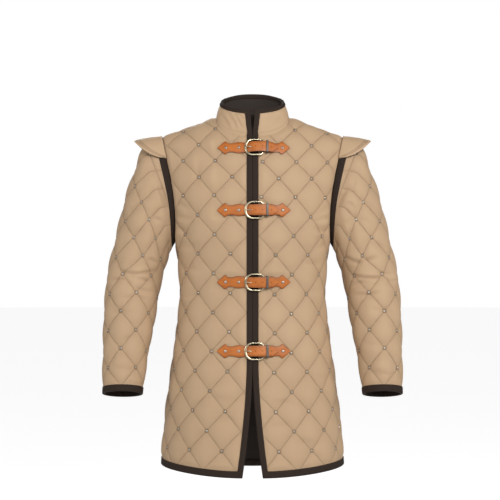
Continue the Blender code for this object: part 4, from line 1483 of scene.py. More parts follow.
@dataclass
class ClothPiece:
    """A padded wall: drill outside, dark lining inside, quilted where it has a lattice.

    Attributes:
        name: The CAD node that it stands for.
        cut: Its flat cut and worn form.
        lattice: Its quilting.
        bound: The width of the binding on each bound edge.
        side: The side it is worn on.
        folds: Its creases.
        thick: Its thickness at the stitch lines.
        spare: More room inside its binding.
        pressed: How far up the straps that press it lie.
        stitched_row: How far above each seam edge a stitched row runs.
        fold_fade: How far in from its edges the folds reach their depth.
    """

    name: str
    cut: Cut
    lattice: Lattice | None = None
    bound: dict[str, float] = field(default_factory=dict)
    side: Side = Side.LEFT
    folds: list[Fold] = field(default_factory=list)
    thick: float = CLOTH.thick
    spare: float = 0.0
    pressed: Row = ()
    stitched_row: float = 0.0
    fold_fade: float = 13 * MM

    SEAM_EASE = 15 * MM
    BOUND_EASE = 12 * MM
    PRESS_HEIGHT = 1.9 * MM
    PRESS_HALF = 16 * MM
    PRESS_TO = 97 * MM
    DIMPLE = 1.4 * MM
    PULL = 2.2 * MM
    DEEPEST = 4.2 * MM
    LINING_STEP = 6 * MM
    STUD_CLEAR = 11 * MM
    STUD_LIFT = 0.7 * MM
    STUD_RING = 4.2 * MM
    STUD_SHADE = 0.62
    LINE_SHADE = 0.30
    DOME_SHADE = 0.16
    DOME_POWER = 0.55
    DIMPLE_REACH = 7 * MM
    PULL_ASIDE = 3.2 * MM
    PULL_ALONG = 15 * MM
    LINE_WIDE = 0.9 * MM
    RING_WIDE = 1.3 * MM
    FLATTEST = 0.12
    BOUND_GAP = 1 * MM
    PRESS_EASE = 9 * MM
    OUTER_STEP = 3.4 * MM
    RIM_STEP = 4 * MM

    def steps_of(self, name: str | None) -> tuple[Array, Array]:
        """The steps of an edge.

        Args:
            name: The edge's name, or None for every unbound edge.

        Returns:
            Where each step starts and where it ends.
        """
        after = np.roll(self.cut.points, -1, axis=0)
        kept = [n == name if name else n not in self.bound for n in self.cut.edge_of]
        return self.cut.points[kept], after[kept]

    def seam_distance(self, flats: Array) -> Array:
        """How far flat points are from the nearest sewn edge."""
        return clearance(flats, *self.steps_of(None))

    def bound_distance(self, flats: Array) -> Array:
        """How far flat points are past the bindings.

        Args:
            flats: The points.

        Returns:
            The distances, below 0 under a binding.
        """
        nearest = np.full(len(flats), np.inf)
        for name, wide in self.bound.items():
            nearest = np.minimum(nearest, clearance(flats, *self.steps_of(name)) - wide)
        return nearest

    def under_strap(self, flats: Array) -> Array:
        """How far a strap presses the cloth.

        Args:
            flats: Flat points.

        Returns:
            Shares from 0 to 1.
        """
        share = np.zeros(len(flats))
        for up in self.pressed:
            past = np.maximum(np.abs(flats[:, 1] - up) - self.PRESS_HALF, flats[:, 0] - self.PRESS_TO)
            share = np.maximum(share, eased(1 - past / self.PRESS_EASE))
        return share

    def relief(self, flats: Array) -> tuple[Array, Array]:
        """The height of the outside over the form, and how much painted shade it takes.

        Args:
            flats: Flat points.

        Returns:
            The heights in metres, and the painted shade from 0 to 1.
        """
        seam, past = self.seam_distance(flats), self.bound_distance(flats)
        height = np.zeros(len(flats))
        shade_and_burnish = np.zeros(len(flats))
        if self.lattice:
            steps = self.lattice.steps(flats)
            waves = np.abs(np.sin(math.pi * steps))
            dome = (waves[:, 0] * waves[:, 1]) ** self.DOME_POWER
            luck = chance(np.floor(steps))
            corners, nearest = np.unique(np.round(steps), axis=0, return_inverse=True)
            corners, nearest = self.lattice.flats(corners), nearest.ravel()
            studded = self.open_cloth(corners, self.STUD_CLEAR)[nearest]
            aside, along = np.abs(flats - corners[nearest]).T
            stud = np.hypot(aside, along)
            height = CLOTH.puff * (0.84 + 0.32 * luck) * dome - self.DIMPLE * bell(stud, self.DIMPLE_REACH)
            pull = self.PULL * luck * bell(aside, self.PULL_ASIDE) * bell(along, self.PULL_ALONG)
            height = np.maximum(height - pull, -self.DIMPLE)
            line = np.abs(steps - np.round(steps)).min(axis=1) * self.lattice.diamond_side
            # Painted shade along the stitch lines and down the slopes of the puffs.
            shade_and_burnish = self.LINE_SHADE * bell(line, self.LINE_WIDE) + self.DOME_SHADE * (1 - dome)
            # Painted shadow ring round each stud.
            shade_and_burnish += studded * self.STUD_SHADE * bell(stud - self.STUD_RING, self.RING_WIDE)
            press = self.under_strap(flats)
            height = height * (1 - press) + np.minimum(height, self.PRESS_HEIGHT) * press
            flatter = eased(seam / self.SEAM_EASE) * eased((past - self.BOUND_GAP) / self.BOUND_EASE)
            height *= self.FLATTEST + (1 - self.FLATTEST) * flatter
            height = np.where(past < self.BOUND_GAP, 0.0, height)
        if self.stitched_row:
            row = np.abs(seam - self.stitched_row)
            height -= 0.7 * MM * bell(row, 1.2 * MM)
            # Painted shade in the stitched row's groove.
            shade_and_burnish += 0.6 * bell(row, 1.0 * MM)
        height -= 0.5 * MM * (1 - eased(seam / (3 * MM)))
        return height, np.clip(shade_and_burnish, 0, 1)

    def place(self, flats: Array, heights: Array | float) -> Array:
        """Worn points on the wearer's left, with the folds in them.

        Args:
            flats: Flat points.
            heights: How far over the form each lies.

        Returns:
            The points.
        """
        worn = self.cut.form.place(flats, 0.0)
        outward = self.cut.form.outward(flats)
        rise = np.zeros(len(flats))
        for fold in self.folds:
            rise += fold.rise(worn, outward)
        edge = np.minimum(self.seam_distance(flats), self.bound_distance(flats))
        rise *= eased(edge / self.fold_fade)
        rise = np.where(rise < 0, self.DEEPEST * np.tanh(rise / self.DEEPEST), rise)
        return worn + outward * (rise + heights)[:, None]

    def outline(self) -> Array:
        """The flat outline of the wall, inside its bindings.

        Returns:
            The outline's points.
        """
        under = CLOTH.binding_thick + CLOTH.binding_gap + self.spare
        moves = {name: under if name in self.bound else CLOTH.sewn for name in self.cut.edge_of}
        return dotted(self.cut.moved_in(moves), self.RIM_STEP)

    def build(self, cloth: Material, lining: Material) -> Object:
        """Make the wall.

        Args:
            cloth: The outside's material.
            lining: The inside's material.

        Returns:
            The piece.
        """
        rim = self.outline()
        spots = self.lattice.grid(rim, STOPS) if self.lattice else square_grid(rim, self.OUTER_STEP)
        spots = clear_inside(spots, rim, 1.3 * MM)
        inner = clear_inside(square_grid(rim, self.LINING_STEP), rim, 3 * MM)
        outer_faces, inner_faces = fill_outline(rim, spots), fill_outline(rim, inner)
        flats = np.vstack((rim, spots))
        heights, shade_and_burnish = self.relief(flats)
        below = np.vstack((rim, inner))
        lined = self.place(below, np.full(len(below), -self.thick))
        points = np.vstack((self.place(flats, heights), lined))
        count, base = len(rim), len(flats)
        here = np.arange(count)
        after = (here + 1) % count
        walls = np.stack((after, here, base + here, base + after), axis=1)
        faces = [*outer_faces.tolist(), *walls.tolist(), *(base + inner_faces[:, ::-1]).tolist()]
        finish_of = [0] * len(outer_faces) + [1] * (len(walls) + len(inner_faces))
        return new_piece(
            self.name, points, faces, [cloth, lining], np.vstack((flats, below)),
            np.concatenate((shade_and_burnish, np.zeros(len(below)))), np.array(finish_of), self.side,
        )

    def spots_at(self, flats: Array, ways: Array, lift: float) -> Spots:
        """Places on the outside of the piece.

        Args:
            flats: Flat points.
            ways: The way along the cloth at each, on the flat.
            lift: How far above the cloth they lie.

        Returns:
            The places, on the piece's own side.
        """
        heights, _ = self.relief(flats)
        here = self.place(flats, heights + lift)
        there = self.place(flats + ways * 0.5 * MM, heights + lift)
        return Spots(here, self.cut.form.outward(flats), unit(there - here)).put(self.side)

    def open_cloth(self, flats: Array, clear: float) -> Array:
        """Which flat points lie on open cloth.

        Args:
            flats: The points.
            clear: How far from edges they have to be; bindings and straps may be a little nearer.

        Returns:
            True for each point on open cloth.
        """
        kept = within(flats, self.cut.points) & (self.seam_distance(flats) > clear)
        kept &= self.bound_distance(flats) > clear * 0.6
        return kept & (self.under_strap(flats) < 0.98)

    def studs(self) -> Spots:
        """Where the studs lie: the corners of the diamonds.

        Returns:
            The places.
        """
        flats = self.lattice.grid(self.cut.points, np.array((0.0,)))
        flats = flats[self.open_cloth(flats, self.STUD_CLEAR)]
        ways = np.tile((1.0, 0.0), (len(flats), 1))
        return self.spots_at(flats, ways, self.STUD_LIFT)

    def stitches(self, pitch: float) -> Spots:
        """Where the stitches of the quilting lie.

        Args:
            pitch: The length of a stitch and the gap after it.

        Returns:
            The places.
        """
        side = math.hypot(self.lattice.across, self.lattice.up)
        count = round(side / pitch)
        stops = (np.arange(count) + 0.5) / count
        found = []
        corners = self.lattice.grid(self.cut.points, np.array((0.0,)))
        for way in (0, 1):
            step = np.zeros(2)
            step[way] = 1.0
            start = self.lattice.steps(corners)
            flats = np.vstack([self.lattice.flats(start + step * stop) for stop in stops])
            flats = flats[self.open_cloth(flats, 2 * MM)]
            along = unit(self.lattice.flats(step[None]) - self.lattice.flats(np.zeros((1, 2))))
            found.append(self.spots_at(flats, np.repeat(along, len(flats), axis=0), 0.15 * MM))
        return found[0].with_more(found[1])


def tape_profile(thick: float, drop: float) -> list[tuple[float, float]]:
    """A folded tape's section: share of its width from the fold, and height over the form.

    Args:
        thick: The tape's thickness.
        drop: The thickness of what it binds.

    Returns:
        The points round the section. The last four close it round the bound edge.
    """
    top, low = CLOTH.binding_gap, -drop - CLOTH.binding_gap
    leg = [(1.0, 0.0), (1.0, 0.65), (0.94, 1.0), (0.5, 1.1), (0.12, 1.0), (0.03, 0.75), (0.0, 0.3)]
    outer = [(share, top + rise * thick) for share, rise in leg]
    inner = [(share, low - rise * thick) for share, rise in reversed(leg)]
    return outer + inner


@dataclass
class Binding:
    """A tape folded round an edge of a piece."""

    name: str
    cut: Cut
    edges: tuple[str, ...]
    widths: dict[str, float]
    side: Side = Side.LEFT
    drop: float = CLOTH.thick
    mitred: tuple[bool, bool] = (False, False)

    FOLD_IN = 0.15 * MM
    PARTS = 5

    def line(self, share: str) -> Array:
        """One line of stations along the tape.

        Args:
            share: Which one: "out" for its fold, "in" for its inside or "wide" for its free edge.

        Returns:
            The stations on the flat.
        """
        moves = {name: CLOTH.seam for name in self.cut.edge_of}
        for name, wide in self.widths.items():
            fold = self.FOLD_IN if name in self.edges else 0.0
            moves[name] = {"out": fold, "in": CLOTH.binding_thick, "wide": wide}[share]
        moved = self.cut.moved_in(moves)
        parts = [self.cut.along(moved, edge) for edge in self.edges]
        line = np.vstack([part[:-1] for part in parts[:-1]] + [parts[-1]])
        for at, other, cut in ((0, 1, self.mitred[0]), (-1, -2, self.mitred[1])):
            if cut:
                line[at] += unit(line[other] - line[at]) * CLOTH.mitre
        return line

    def build(self, tape: Material) -> Object:
        """Make the tape.

        Args:
            tape: Its material.

        Returns:
            The piece.
        """
        out, inside, wide = (finer(self.line(share), self.PARTS) for share in ("out", "in", "wide"))
        lines, flats = [], []
        along = lengths(out)
        for share, height in tape_profile(CLOTH.binding_thick, self.drop):
            line = out + (wide - out) * share
            lines.append(self.cut.form.place(line, height))
            flats.append(np.stack((along, np.full(len(along), share * 15 * MM + height)), axis=1))
        for height in (-self.drop - CLOTH.binding_gap, CLOTH.binding_gap):
            lines.append(self.cut.form.place(inside, height))
            flats.append(np.stack((along, np.zeros(len(along))), axis=1))
        return loft_piece(self.name, lines, flats, False, tape, self.side)

    def stitches(self, inset: float, pitch: float) -> Spots:
        """A sewn row along the tape, in from its free edge.

        Args:
            inset: How far in the row lies.
            pitch: The length of a stitch and the gap after it.

        Returns:
            The places.
        """
        out, wide = (finer(self.line(share), self.PARTS) for share in ("out", "wide"))
        line = wide + unit(out - wide) * inset
        line = evenly(line, max(3, int(lengths(line)[-1] / pitch)))[1:-1]
        height = CLOTH.binding_gap + CLOTH.binding_thick * 1.02
        points = self.cut.form.place(line, height)
        ways = unit(np.gradient(points, axis=0))
        return Spots(points, self.cut.form.outward(line), ways).put(self.side)


# The sewn garment


class SleeveShape:
    """The left sleeve's worn form."""

    HALF_COLUMNS = 120
    ROWS = 220

    def __init__(self, trunk: Trunk, sizes: SleeveSizes = SLEEVE_SIZES) -> None:
        """Work out the form.

        Args:
            trunk: The body whose armhole the sleeve is sewn to.
            sizes: The sleeve's sections.
        """
        names = ("outer_x", "outer_z", "under_x", "under_z", "half_depth", "middle_y", "lean")
        table = {name: np.array(getattr(sizes, name), float) for name in names}
        middles = (table["outer_x"] + table["under_x"], table["outer_z"] + table["under_z"])
        marks = lengths(np.stack(middles, axis=1) / 2)
        at = np.linspace(0, marks[-1], self.ROWS)
        read = {name: smooth_through(marks, values, at) for name, values in table.items()}
        turn = np.linspace(0, math.pi, 361)
        seam = evenly(trunk.arm_worn[::-1], self.HALF_COLUMNS + 1)
        shapes = (seam, seam * np.array((1.0, -1.0, 1.0)))
        rings = []
        for n in range(self.ROWS):
            outer = np.array((read["outer_x"][n], 0.0, read["outer_z"][n]))
            under = np.array((read["under_x"][n], 0.0, read["under_z"][n]))
            middle = (outer + under) / 2 + np.array((0.0, read["middle_y"][n], 0.0))
            lean = math.radians(read["lean"][n])
            fore = np.array((0.0, -math.cos(lean), math.sin(lean))) * read["half_depth"][n]
            reach = np.outer(np.cos(turn), (outer - under) / 2)
            halves = [middle + reach + np.outer(np.sin(turn) * way, fore) for way in (1, -1)]
            rings.append([evenly(half, self.HALF_COLUMNS + 1) for half in halves])
        rows = []
        for n in range(self.ROWS):
            keep = 1 - float(eased(at[n] / marks[sizes.blend_section]))
            front, rear = (rings[n][k] + keep * (shapes[k] - rings[0][k]) for k in (0, 1))
            rows.append(np.vstack((front[::-1], rear[1:])))
        self.last_row = self.ROWS - 1
        self.last_column = 2 * self.HALF_COLUMNS
        self.band_row = self.last_row * (1 - marks[sizes.band_section] / marks[-1])
        self.cuff_row = self.last_row * (1 - marks[sizes.cuff_section] / marks[-1])
        self.form = WornForm(np.array(rows)[::-1], 0, self.HALF_COLUMNS)

    def cut(self) -> Cut:
        """The sleeve's flat cut.

        Returns:
            The cut, with its edges named.
        """
        rows = np.linspace(self.cuff_row, self.band_row, 25)
        columns = np.linspace(0, self.last_column, 61)
        return Cut(self.form, [
            ("cuff", self.form.flat(self.cuff_row, columns)),
            ("seam", self.form.flat(rows, self.last_column)),
            ("head", self.form.flat(self.band_row, columns[::-1])),
            ("seam", self.form.flat(rows[::-1], 0)),
        ])


class CollarShape:
    """The standing collar's worn form."""

    COLUMNS = 241
    ROWS = 49
    SOFT_REACH = 7
    SOFT_END = 30

    def __init__(self, trunk: Trunk, sizes: CollarSizes = COLLAR_SIZES) -> None:
        """Work out the form.

        Args:
            trunk: The body whose neck the collar is sewn to.
            sizes: The collar's sizes.
        """
        front = trunk.worn(trunk.neck_stations(trunk.sizes.neck_front, 120)[::-1])
        rear = trunk.worn(trunk.neck_stations(trunk.sizes.neck_back, 120)[1:]) * np.array((1.0, -1.0, 1.0))
        half = np.vstack((front, rear))
        base = evenly(np.vstack((half, mirrored(half)[-2::-1])) + (0.0, 0.0, sizes.lift), self.COLUMNS)
        turn = np.linspace(0, 2 * math.pi, 721)
        middle, deep = (sizes.front_y + sizes.back_y) / 2, (sizes.back_y - sizes.front_y) / 2
        power = 2 / sizes.power
        x = sizes.half * np.sign(np.sin(turn)) * np.abs(np.sin(turn)) ** power
        y = middle - deep * np.sign(np.cos(turn)) * np.abs(np.cos(turn)) ** power
        z = sizes.front_z + (sizes.back_z - sizes.front_z) * (0.5 - 0.5 * np.cos(turn))
        start = np.array((sizes.gap, sizes.front_y, sizes.front_z))
        kept = (turn > sizes.corner) & (turn < 2 * math.pi - sizes.corner)
        top = evenly(np.vstack((start, np.stack((x, y, z), axis=1)[kept], mirrored(start))), self.COLUMNS)
        soft = self.softened(base)
        rows = []
        for share in np.linspace(0, 1, self.ROWS):
            line = base + (soft - base) * float(eased(share * 3))
            line = line + (top - line) * share
            out = (line - (0.0, middle, 0.0)) * (1.0, 1.0, 0.0)
            rows.append(line + unit(out) * sizes.belly * math.sin(math.pi * share))
        self.form = WornForm(np.array(rows), 0, (self.COLUMNS - 1) // 2)

    def softened(self, base: Array) -> Array:
        """The collar's seam with its corners rounded, except near its two ends.

        Args:
            base: The seam.

        Returns:
            The softened line.
        """
        columns = np.arange(self.COLUMNS)
        reach = np.arange(-2 * self.SOFT_REACH, 2 * self.SOFT_REACH + 1)
        weights = bell(reach, self.SOFT_REACH)
        soft = sum(w * base[np.clip(columns + k, 0, self.COLUMNS - 1)] for k, w in zip(reach, weights))
        fade = eased(columns / self.SOFT_END) * eased(columns[::-1] / self.SOFT_END)
        return base + (soft / weights.sum() - base) * fade[:, None]

    def cut(self) -> Cut:
        """The collar's flat cut.

        Returns:
            The cut, with its edges named.
        """
        last_row, last_column = self.ROWS - 1, self.COLUMNS - 1
        ends = np.linspace(0, last_row, 4)
        top = np.concatenate(([last_column], np.linspace(last_column - 12, 12, 27), [0]))
        return Cut(self.form, [
            ("base", self.form.flat(0, np.linspace(0, last_column, 49))),
            ("end", self.form.flat(ends, last_column)),
            ("top", self.form.flat(last_row, top)),
            ("start", self.form.flat(ends[::-1], 0)),
        ])


BODY_FOLDS = {
    Side.LEFT: [
        (196, -205, 150, -232, 7, 1.6, 4), (199, -236, 158, -247, 8, 2.0, -3),
        (196, -268, 148, -262, 8, 1.6, 4), (193, -300, 160, -318, 9, 1.5, 0),
        (120, -60, 132, -150, 11, 1.2, 4), (70, -90, 62, -190, 12, 0.9, -5),
        (178, -352, 120, -345, 10, 1.2, 5), (180, -420, 128, -440, 11, 1.2, -4),
        (50, -700, 110, -712, 12, 1.4, 5), (44, -760, 96, -752, 13, 1.2, -4),
        (150, -640, 205, -655, 13, 1.2, 5), (110, -800, 170, -812, 14, 1.0, 4),
    ],
    Side.RIGHT: [
        (197, -196, 160, -222, 7, 1.8, -4), (199, -228, 152, -238, 8, 1.8, 4),
        (195, -262, 160, -282, 8, 1.6, -3), (190, -310, 140, -302, 9, 1.4, 4),
        (138, -70, 150, -160, 11, 1.3, -4), (88, -80, 84, -170, 12, 1.0, 5),
        (180, -368, 130, -372, 10, 1.3, -5), (182, -436, 140, -428, 11, 1.2, 4),
        (48, -690, 104, -684, 12, 1.3, -5), (44, -742, 92, -748, 13, 1.3, 4),
        (140, -668, 200, -662, 13, 1.1, -5), (100, -790, 160, -784, 14, 1.0, 4),
    ],
}
BACK_FOLDS = [
    (196, -215, 140, -238, 8, 2.0, 5), (198, -246, 150, -262, 8, 1.8, -4),
    (-196, -208, -146, -232, 8, 1.9, -4), (-198, -240, -152, -252, 8, 2.0, 4),
    (60, -90, 66, -210, 13, 1.3, 6), (-70, -80, -58, -200, 13, 1.3, -6), (150, -430, 60, -412, 12, 2.2, 6),
    (140, -462, 40, -452, 12, 2.0, -5), (-146, -424, -52, -440, 12, 2.2, -6),
    (-120, -468, -30, -478, 12, 1.8, 5), (60, -700, 70, -850, 16, 2.2, 7),
    (-72, -690, -64, -840, 16, 2.2, -7), (150, -720, 160, -850, 16, 1.8, 5),
    (-150, -700, -166, -830, 16, 1.8, -5),
]
SLEEVE_FOLDS = {
    Side.LEFT: [
        (250, -148, 213, -218, 7.5, 3.6, -3), (262, -128, 247, -172, 7, 2.6, 4),
        (240, -196, 262, -214, 8, 1.8, 3), (238, -252, 262, -232, 8, 1.6, -2),
        (236, -330, 282, -352, 7, 2.4, -4), (268, -358, 330, -336, 9, 2.2, 4),
        (252, -381, 344, -386, 6.5, 4.2, -6), (258, -408, 300, -398, 6, 3.2, 3),
        (262, -432, 330, -424, 8, 2.4, -4), (318, -372, 362, -380, 6.5, 2.4, -3),
        (340, -402, 372, -398, 7, 2.0, 2), (300, -300, 338, -318, 11, 1.6, 4),
        (270, -240, 318, -262, 12, 1.5, 5), (284, -180, 312, -226, 12, 1.4, -4),
        (300, -470, 364, -486, 12, 1.6, 5), (288, -560, 350, -548, 12, 1.5, -4),
        (300, -628, 362, -640, 11, 1.6, 3),
    ],
    Side.RIGHT: [
        (243, -148, 206, -232, 7, 3.2, 3), (238, -152, 224, -196, 6, 2.6, -2),
        (262, -132, 300, -176, 11, 1.6, 4), (280, -196, 322, -220, 12, 1.5, -4),
        (232, -244, 256, -236, 6, 1.8, 2), (246, -352, 266, -334, 7, 2.6, -2),
        (252, -370, 338, -372, 6.5, 4.2, -7), (262, -402, 330, -386, 6.5, 3.4, 5),
        (310, -398, 366, -396, 6.5, 2.8, 3), (258, -424, 300, -414, 7, 2.4, -3),
        (268, -446, 340, -440, 9, 1.8, 4), (330, -340, 362, -352, 9, 1.8, -3),
        (268, -268, 318, -286, 12, 1.5, 5), (296, -476, 366, -470, 12, 1.6, -5),
        (288, -540, 346, -556, 12, 1.4, 4), (300, -622, 360, -612, 11, 1.6, -3),
    ],
}
SLEEVE_BACK_FOLDS = [
    (246, -160, 214, -236, 8, 3.6, -3), (258, -214, 300, -232, 11, 1.6, 4),
    (250, -356, 330, -372, 9, 2.2, 5), (262, -400, 350, -408, 9, 2.0, -5),
    (280, -470, 356, -462, 12, 1.8, 4), (290, -560, 350, -572, 12, 1.5, -4),
]
COLLAR_FOLDS = [
    (-79, 56, -40, -8, 5.5, 2.6, 4), (-68, 60, -27, -6, 5, 2.6, 3), (-56, 62, -15, 8, 5, 2.0, -3),
    (-40, 58, -12, 26, 4.5, 1.5, 3), (-82, 30, -58, -6, 5, 1.6, 2), (66, 56, 36, 18, 6.5, 1.6, 3),
    (76, 34, 44, -4, 6.5, 1.8, -3), (46, 60, 16, 30, 5, 1.0, 2),
]


@dataclass
class Wing:
    """A shoulder wing: a padded crescent with two stitched rows along its free edge.

    Attributes:
        side: The side it is worn on.
        shape: The sleeve whose head it covers.
        span: How much of half the sleeve's head it runs over, each way from the shoulder.
        root_out: How far over the form its root lies.
        root_below: How far below the armhole its root lies.
        end_reach: How far it reaches out at its ends.
        more_reach: How much further it reaches in the middle.
        splay: How far its ends turn apart for each length out.
        droop: How far it hangs for each length out.
        thick: Its greatest thickness.
        crown: How far its middle rises.
        rows: How far in from its free edge the stitched rows lie.
        row_wide: How wide a row's groove is.
        row_depth: How deep the groove is.
        row_room: The reach that the rows need.
        puff: How far the rolled edge swells.
    """

    side: Side
    shape: SleeveShape
    span: float = 0.250
    root_out: float = 1.2 * MM
    root_below: float = 0.6 * MM
    end_reach: float = 4 * MM
    more_reach: float = 0.071
    splay: float = 0.32
    droop: float = 0.18
    thick: float = 4.4 * MM
    crown: float = 1.2 * MM
    rows: tuple[float, float] = (7 * MM, 13 * MM)
    row_wide: float = 1.3 * MM
    row_depth: float = 0.55 * MM
    row_room: float = 18 * MM
    puff: float = 0.35 * MM

    STATIONS = 65
    PLAIN_DEPTHS = 31
    ROUND_DEPTHS = 8
    ROUND_FROM = 0.9

    def __post_init__(self) -> None:
        """Work out its root, its reach and the depths of its points."""
        shares = self.shares = np.linspace(-1, 1, self.STATIONS)
        turns = np.linspace(0, math.pi / 2, self.ROUND_DEPTHS)[1:]
        rounded = self.ROUND_FROM + (1 - self.ROUND_FROM) * np.sin(turns)
        self.depths = np.concatenate((np.linspace(0, self.ROUND_FROM, self.PLAIN_DEPTHS), rounded))
        form = self.shape.form
        columns = self.shape.HALF_COLUMNS * (1 + self.span * shares)
        self.seam = form.flat(self.shape.last_row, columns) - (0.0, self.root_below)
        self.root, self.outward = form.place(self.seam, self.root_out), form.outward(self.seam)
        self.reach = self.end_reach + self.more_reach * np.maximum(0.0, 1 - shares**2) ** 0.65
        ways = (np.ones(self.STATIONS), self.splay * shares, np.full(self.STATIONS, -self.droop))
        self.ways = unit(np.stack(ways, axis=1))
        self.tops, self.lows, self.shade_and_burnish = self.surfaces()

    @property
    def flat_size(self) -> tuple[tuple[float, float], float]:
        """Its width along the armhole and its reach, and its area."""
        width = float(lengths(self.root)[-1])
        return (width, float(self.reach.max())), float(np.mean(self.reach) * width)

    def surfaces(self) -> tuple[Array, Array, Array]:
        """Its points by depth and station.

        Returns:
            Its top, its underside and how hollow they are.
        """
        tops, lows, shade_and_burnish = [], [], []
        for depth in self.depths:
            crown = self.crown * math.sin(math.pi * depth) * (1 - self.shares**2)
            low = self.root + self.ways * (self.reach * depth)[:, None] + np.outer(crown, UP)
            up_way = unit(self.outward * (1 - depth) + UP * depth)
            thick = self.thick * (0.45 + 0.55 * math.sin(math.pi * min(1.0, depth + 0.25) / 2))
            past = max(0.0, depth - self.ROUND_FROM) / (1 - self.ROUND_FROM)
            inset = self.reach * (1 - depth)
            rows = sum(bell(inset - row, self.row_wide) for row in self.rows) * (self.reach > self.row_room)
            puff = self.puff * np.sin(math.pi * np.clip(inset / self.rows[0], 0, 1))
            half = thick / 2 * math.sqrt(max(0.02, 1 - past**2)) - self.row_depth * rows
            half = (half + puff * (inset < self.rows[0]))[:, None]
            middle = low + up_way * thick / 2
            tops.append(middle + up_way * half)
            lows.append(middle - up_way * half)
            # Painted shade in the stitched rows' grooves.
            shade_and_burnish.append(rows * 0.7)
        return np.array(tops), np.array(lows), np.clip(np.array(shade_and_burnish), 0, 1)

    def build(self, name: str, cloth: Material, lining: Material) -> Object:
        """Make the wing.

        Args:
            name: The piece's name.
            cloth: The top's material.
            lining: The underside's material.

        Returns:
            The piece.
        """
        half = self.STATIONS * len(self.depths)
        grid = np.arange(half).reshape(len(self.depths), self.STATIONS)
        a, b = grid[:-1, :-1].ravel(), grid[1:, :-1].ravel()
        rim = np.concatenate((grid[:, 0], grid[-1, 1:], grid[-2::-1, -1], grid[0, -2:0:-1]))
        after = np.roll(rim, -1)
        top = np.stack((a, b, b + 1, a + 1), axis=1)
        under = np.stack((a, a + 1, b + 1, b), axis=1) + half
        wall = np.stack((rim, rim + half, after + half, after), axis=1)
        across = np.tile(self.seam[:, 0], len(self.depths))
        flats = np.stack((across, np.outer(self.depths, self.reach).ravel()))
        finish_of = np.repeat((0, 1, 0), (len(top), len(under), len(wall)))
        return outwards(new_piece(
            name, np.vstack((self.tops.reshape(-1, 3), self.lows.reshape(-1, 3))),
            np.vstack((top, under, wall)), [cloth, lining], np.tile(flats.T, (2, 1)),
            np.tile(self.shade_and_burnish.ravel(), 2), finish_of, self.side))

    def stitches(self, pitch: float) -> Spots:
        """Its two stitched rows.

        Args:
            pitch: The length of a stitch and the gap after it.

        Returns:
            The places.
        """
        kept = np.flatnonzero(self.reach > self.row_room)
        found = []
        for inset in self.rows:
            line = []
            for s in kept:
                depth = 1 - inset / self.reach[s]
                line.append([np.interp(depth, self.depths, self.tops[:, s, k]) for k in range(3)])
            line = evenly(np.array(line), int(lengths(np.array(line))[-1] / pitch))
            facing = np.tile(UP, (len(line), 1))
            found.append(Spots(line + facing * 0.3 * MM, facing, unit(np.gradient(line, axis=0))))
        return found[0].with_more(found[1]).put(self.side)


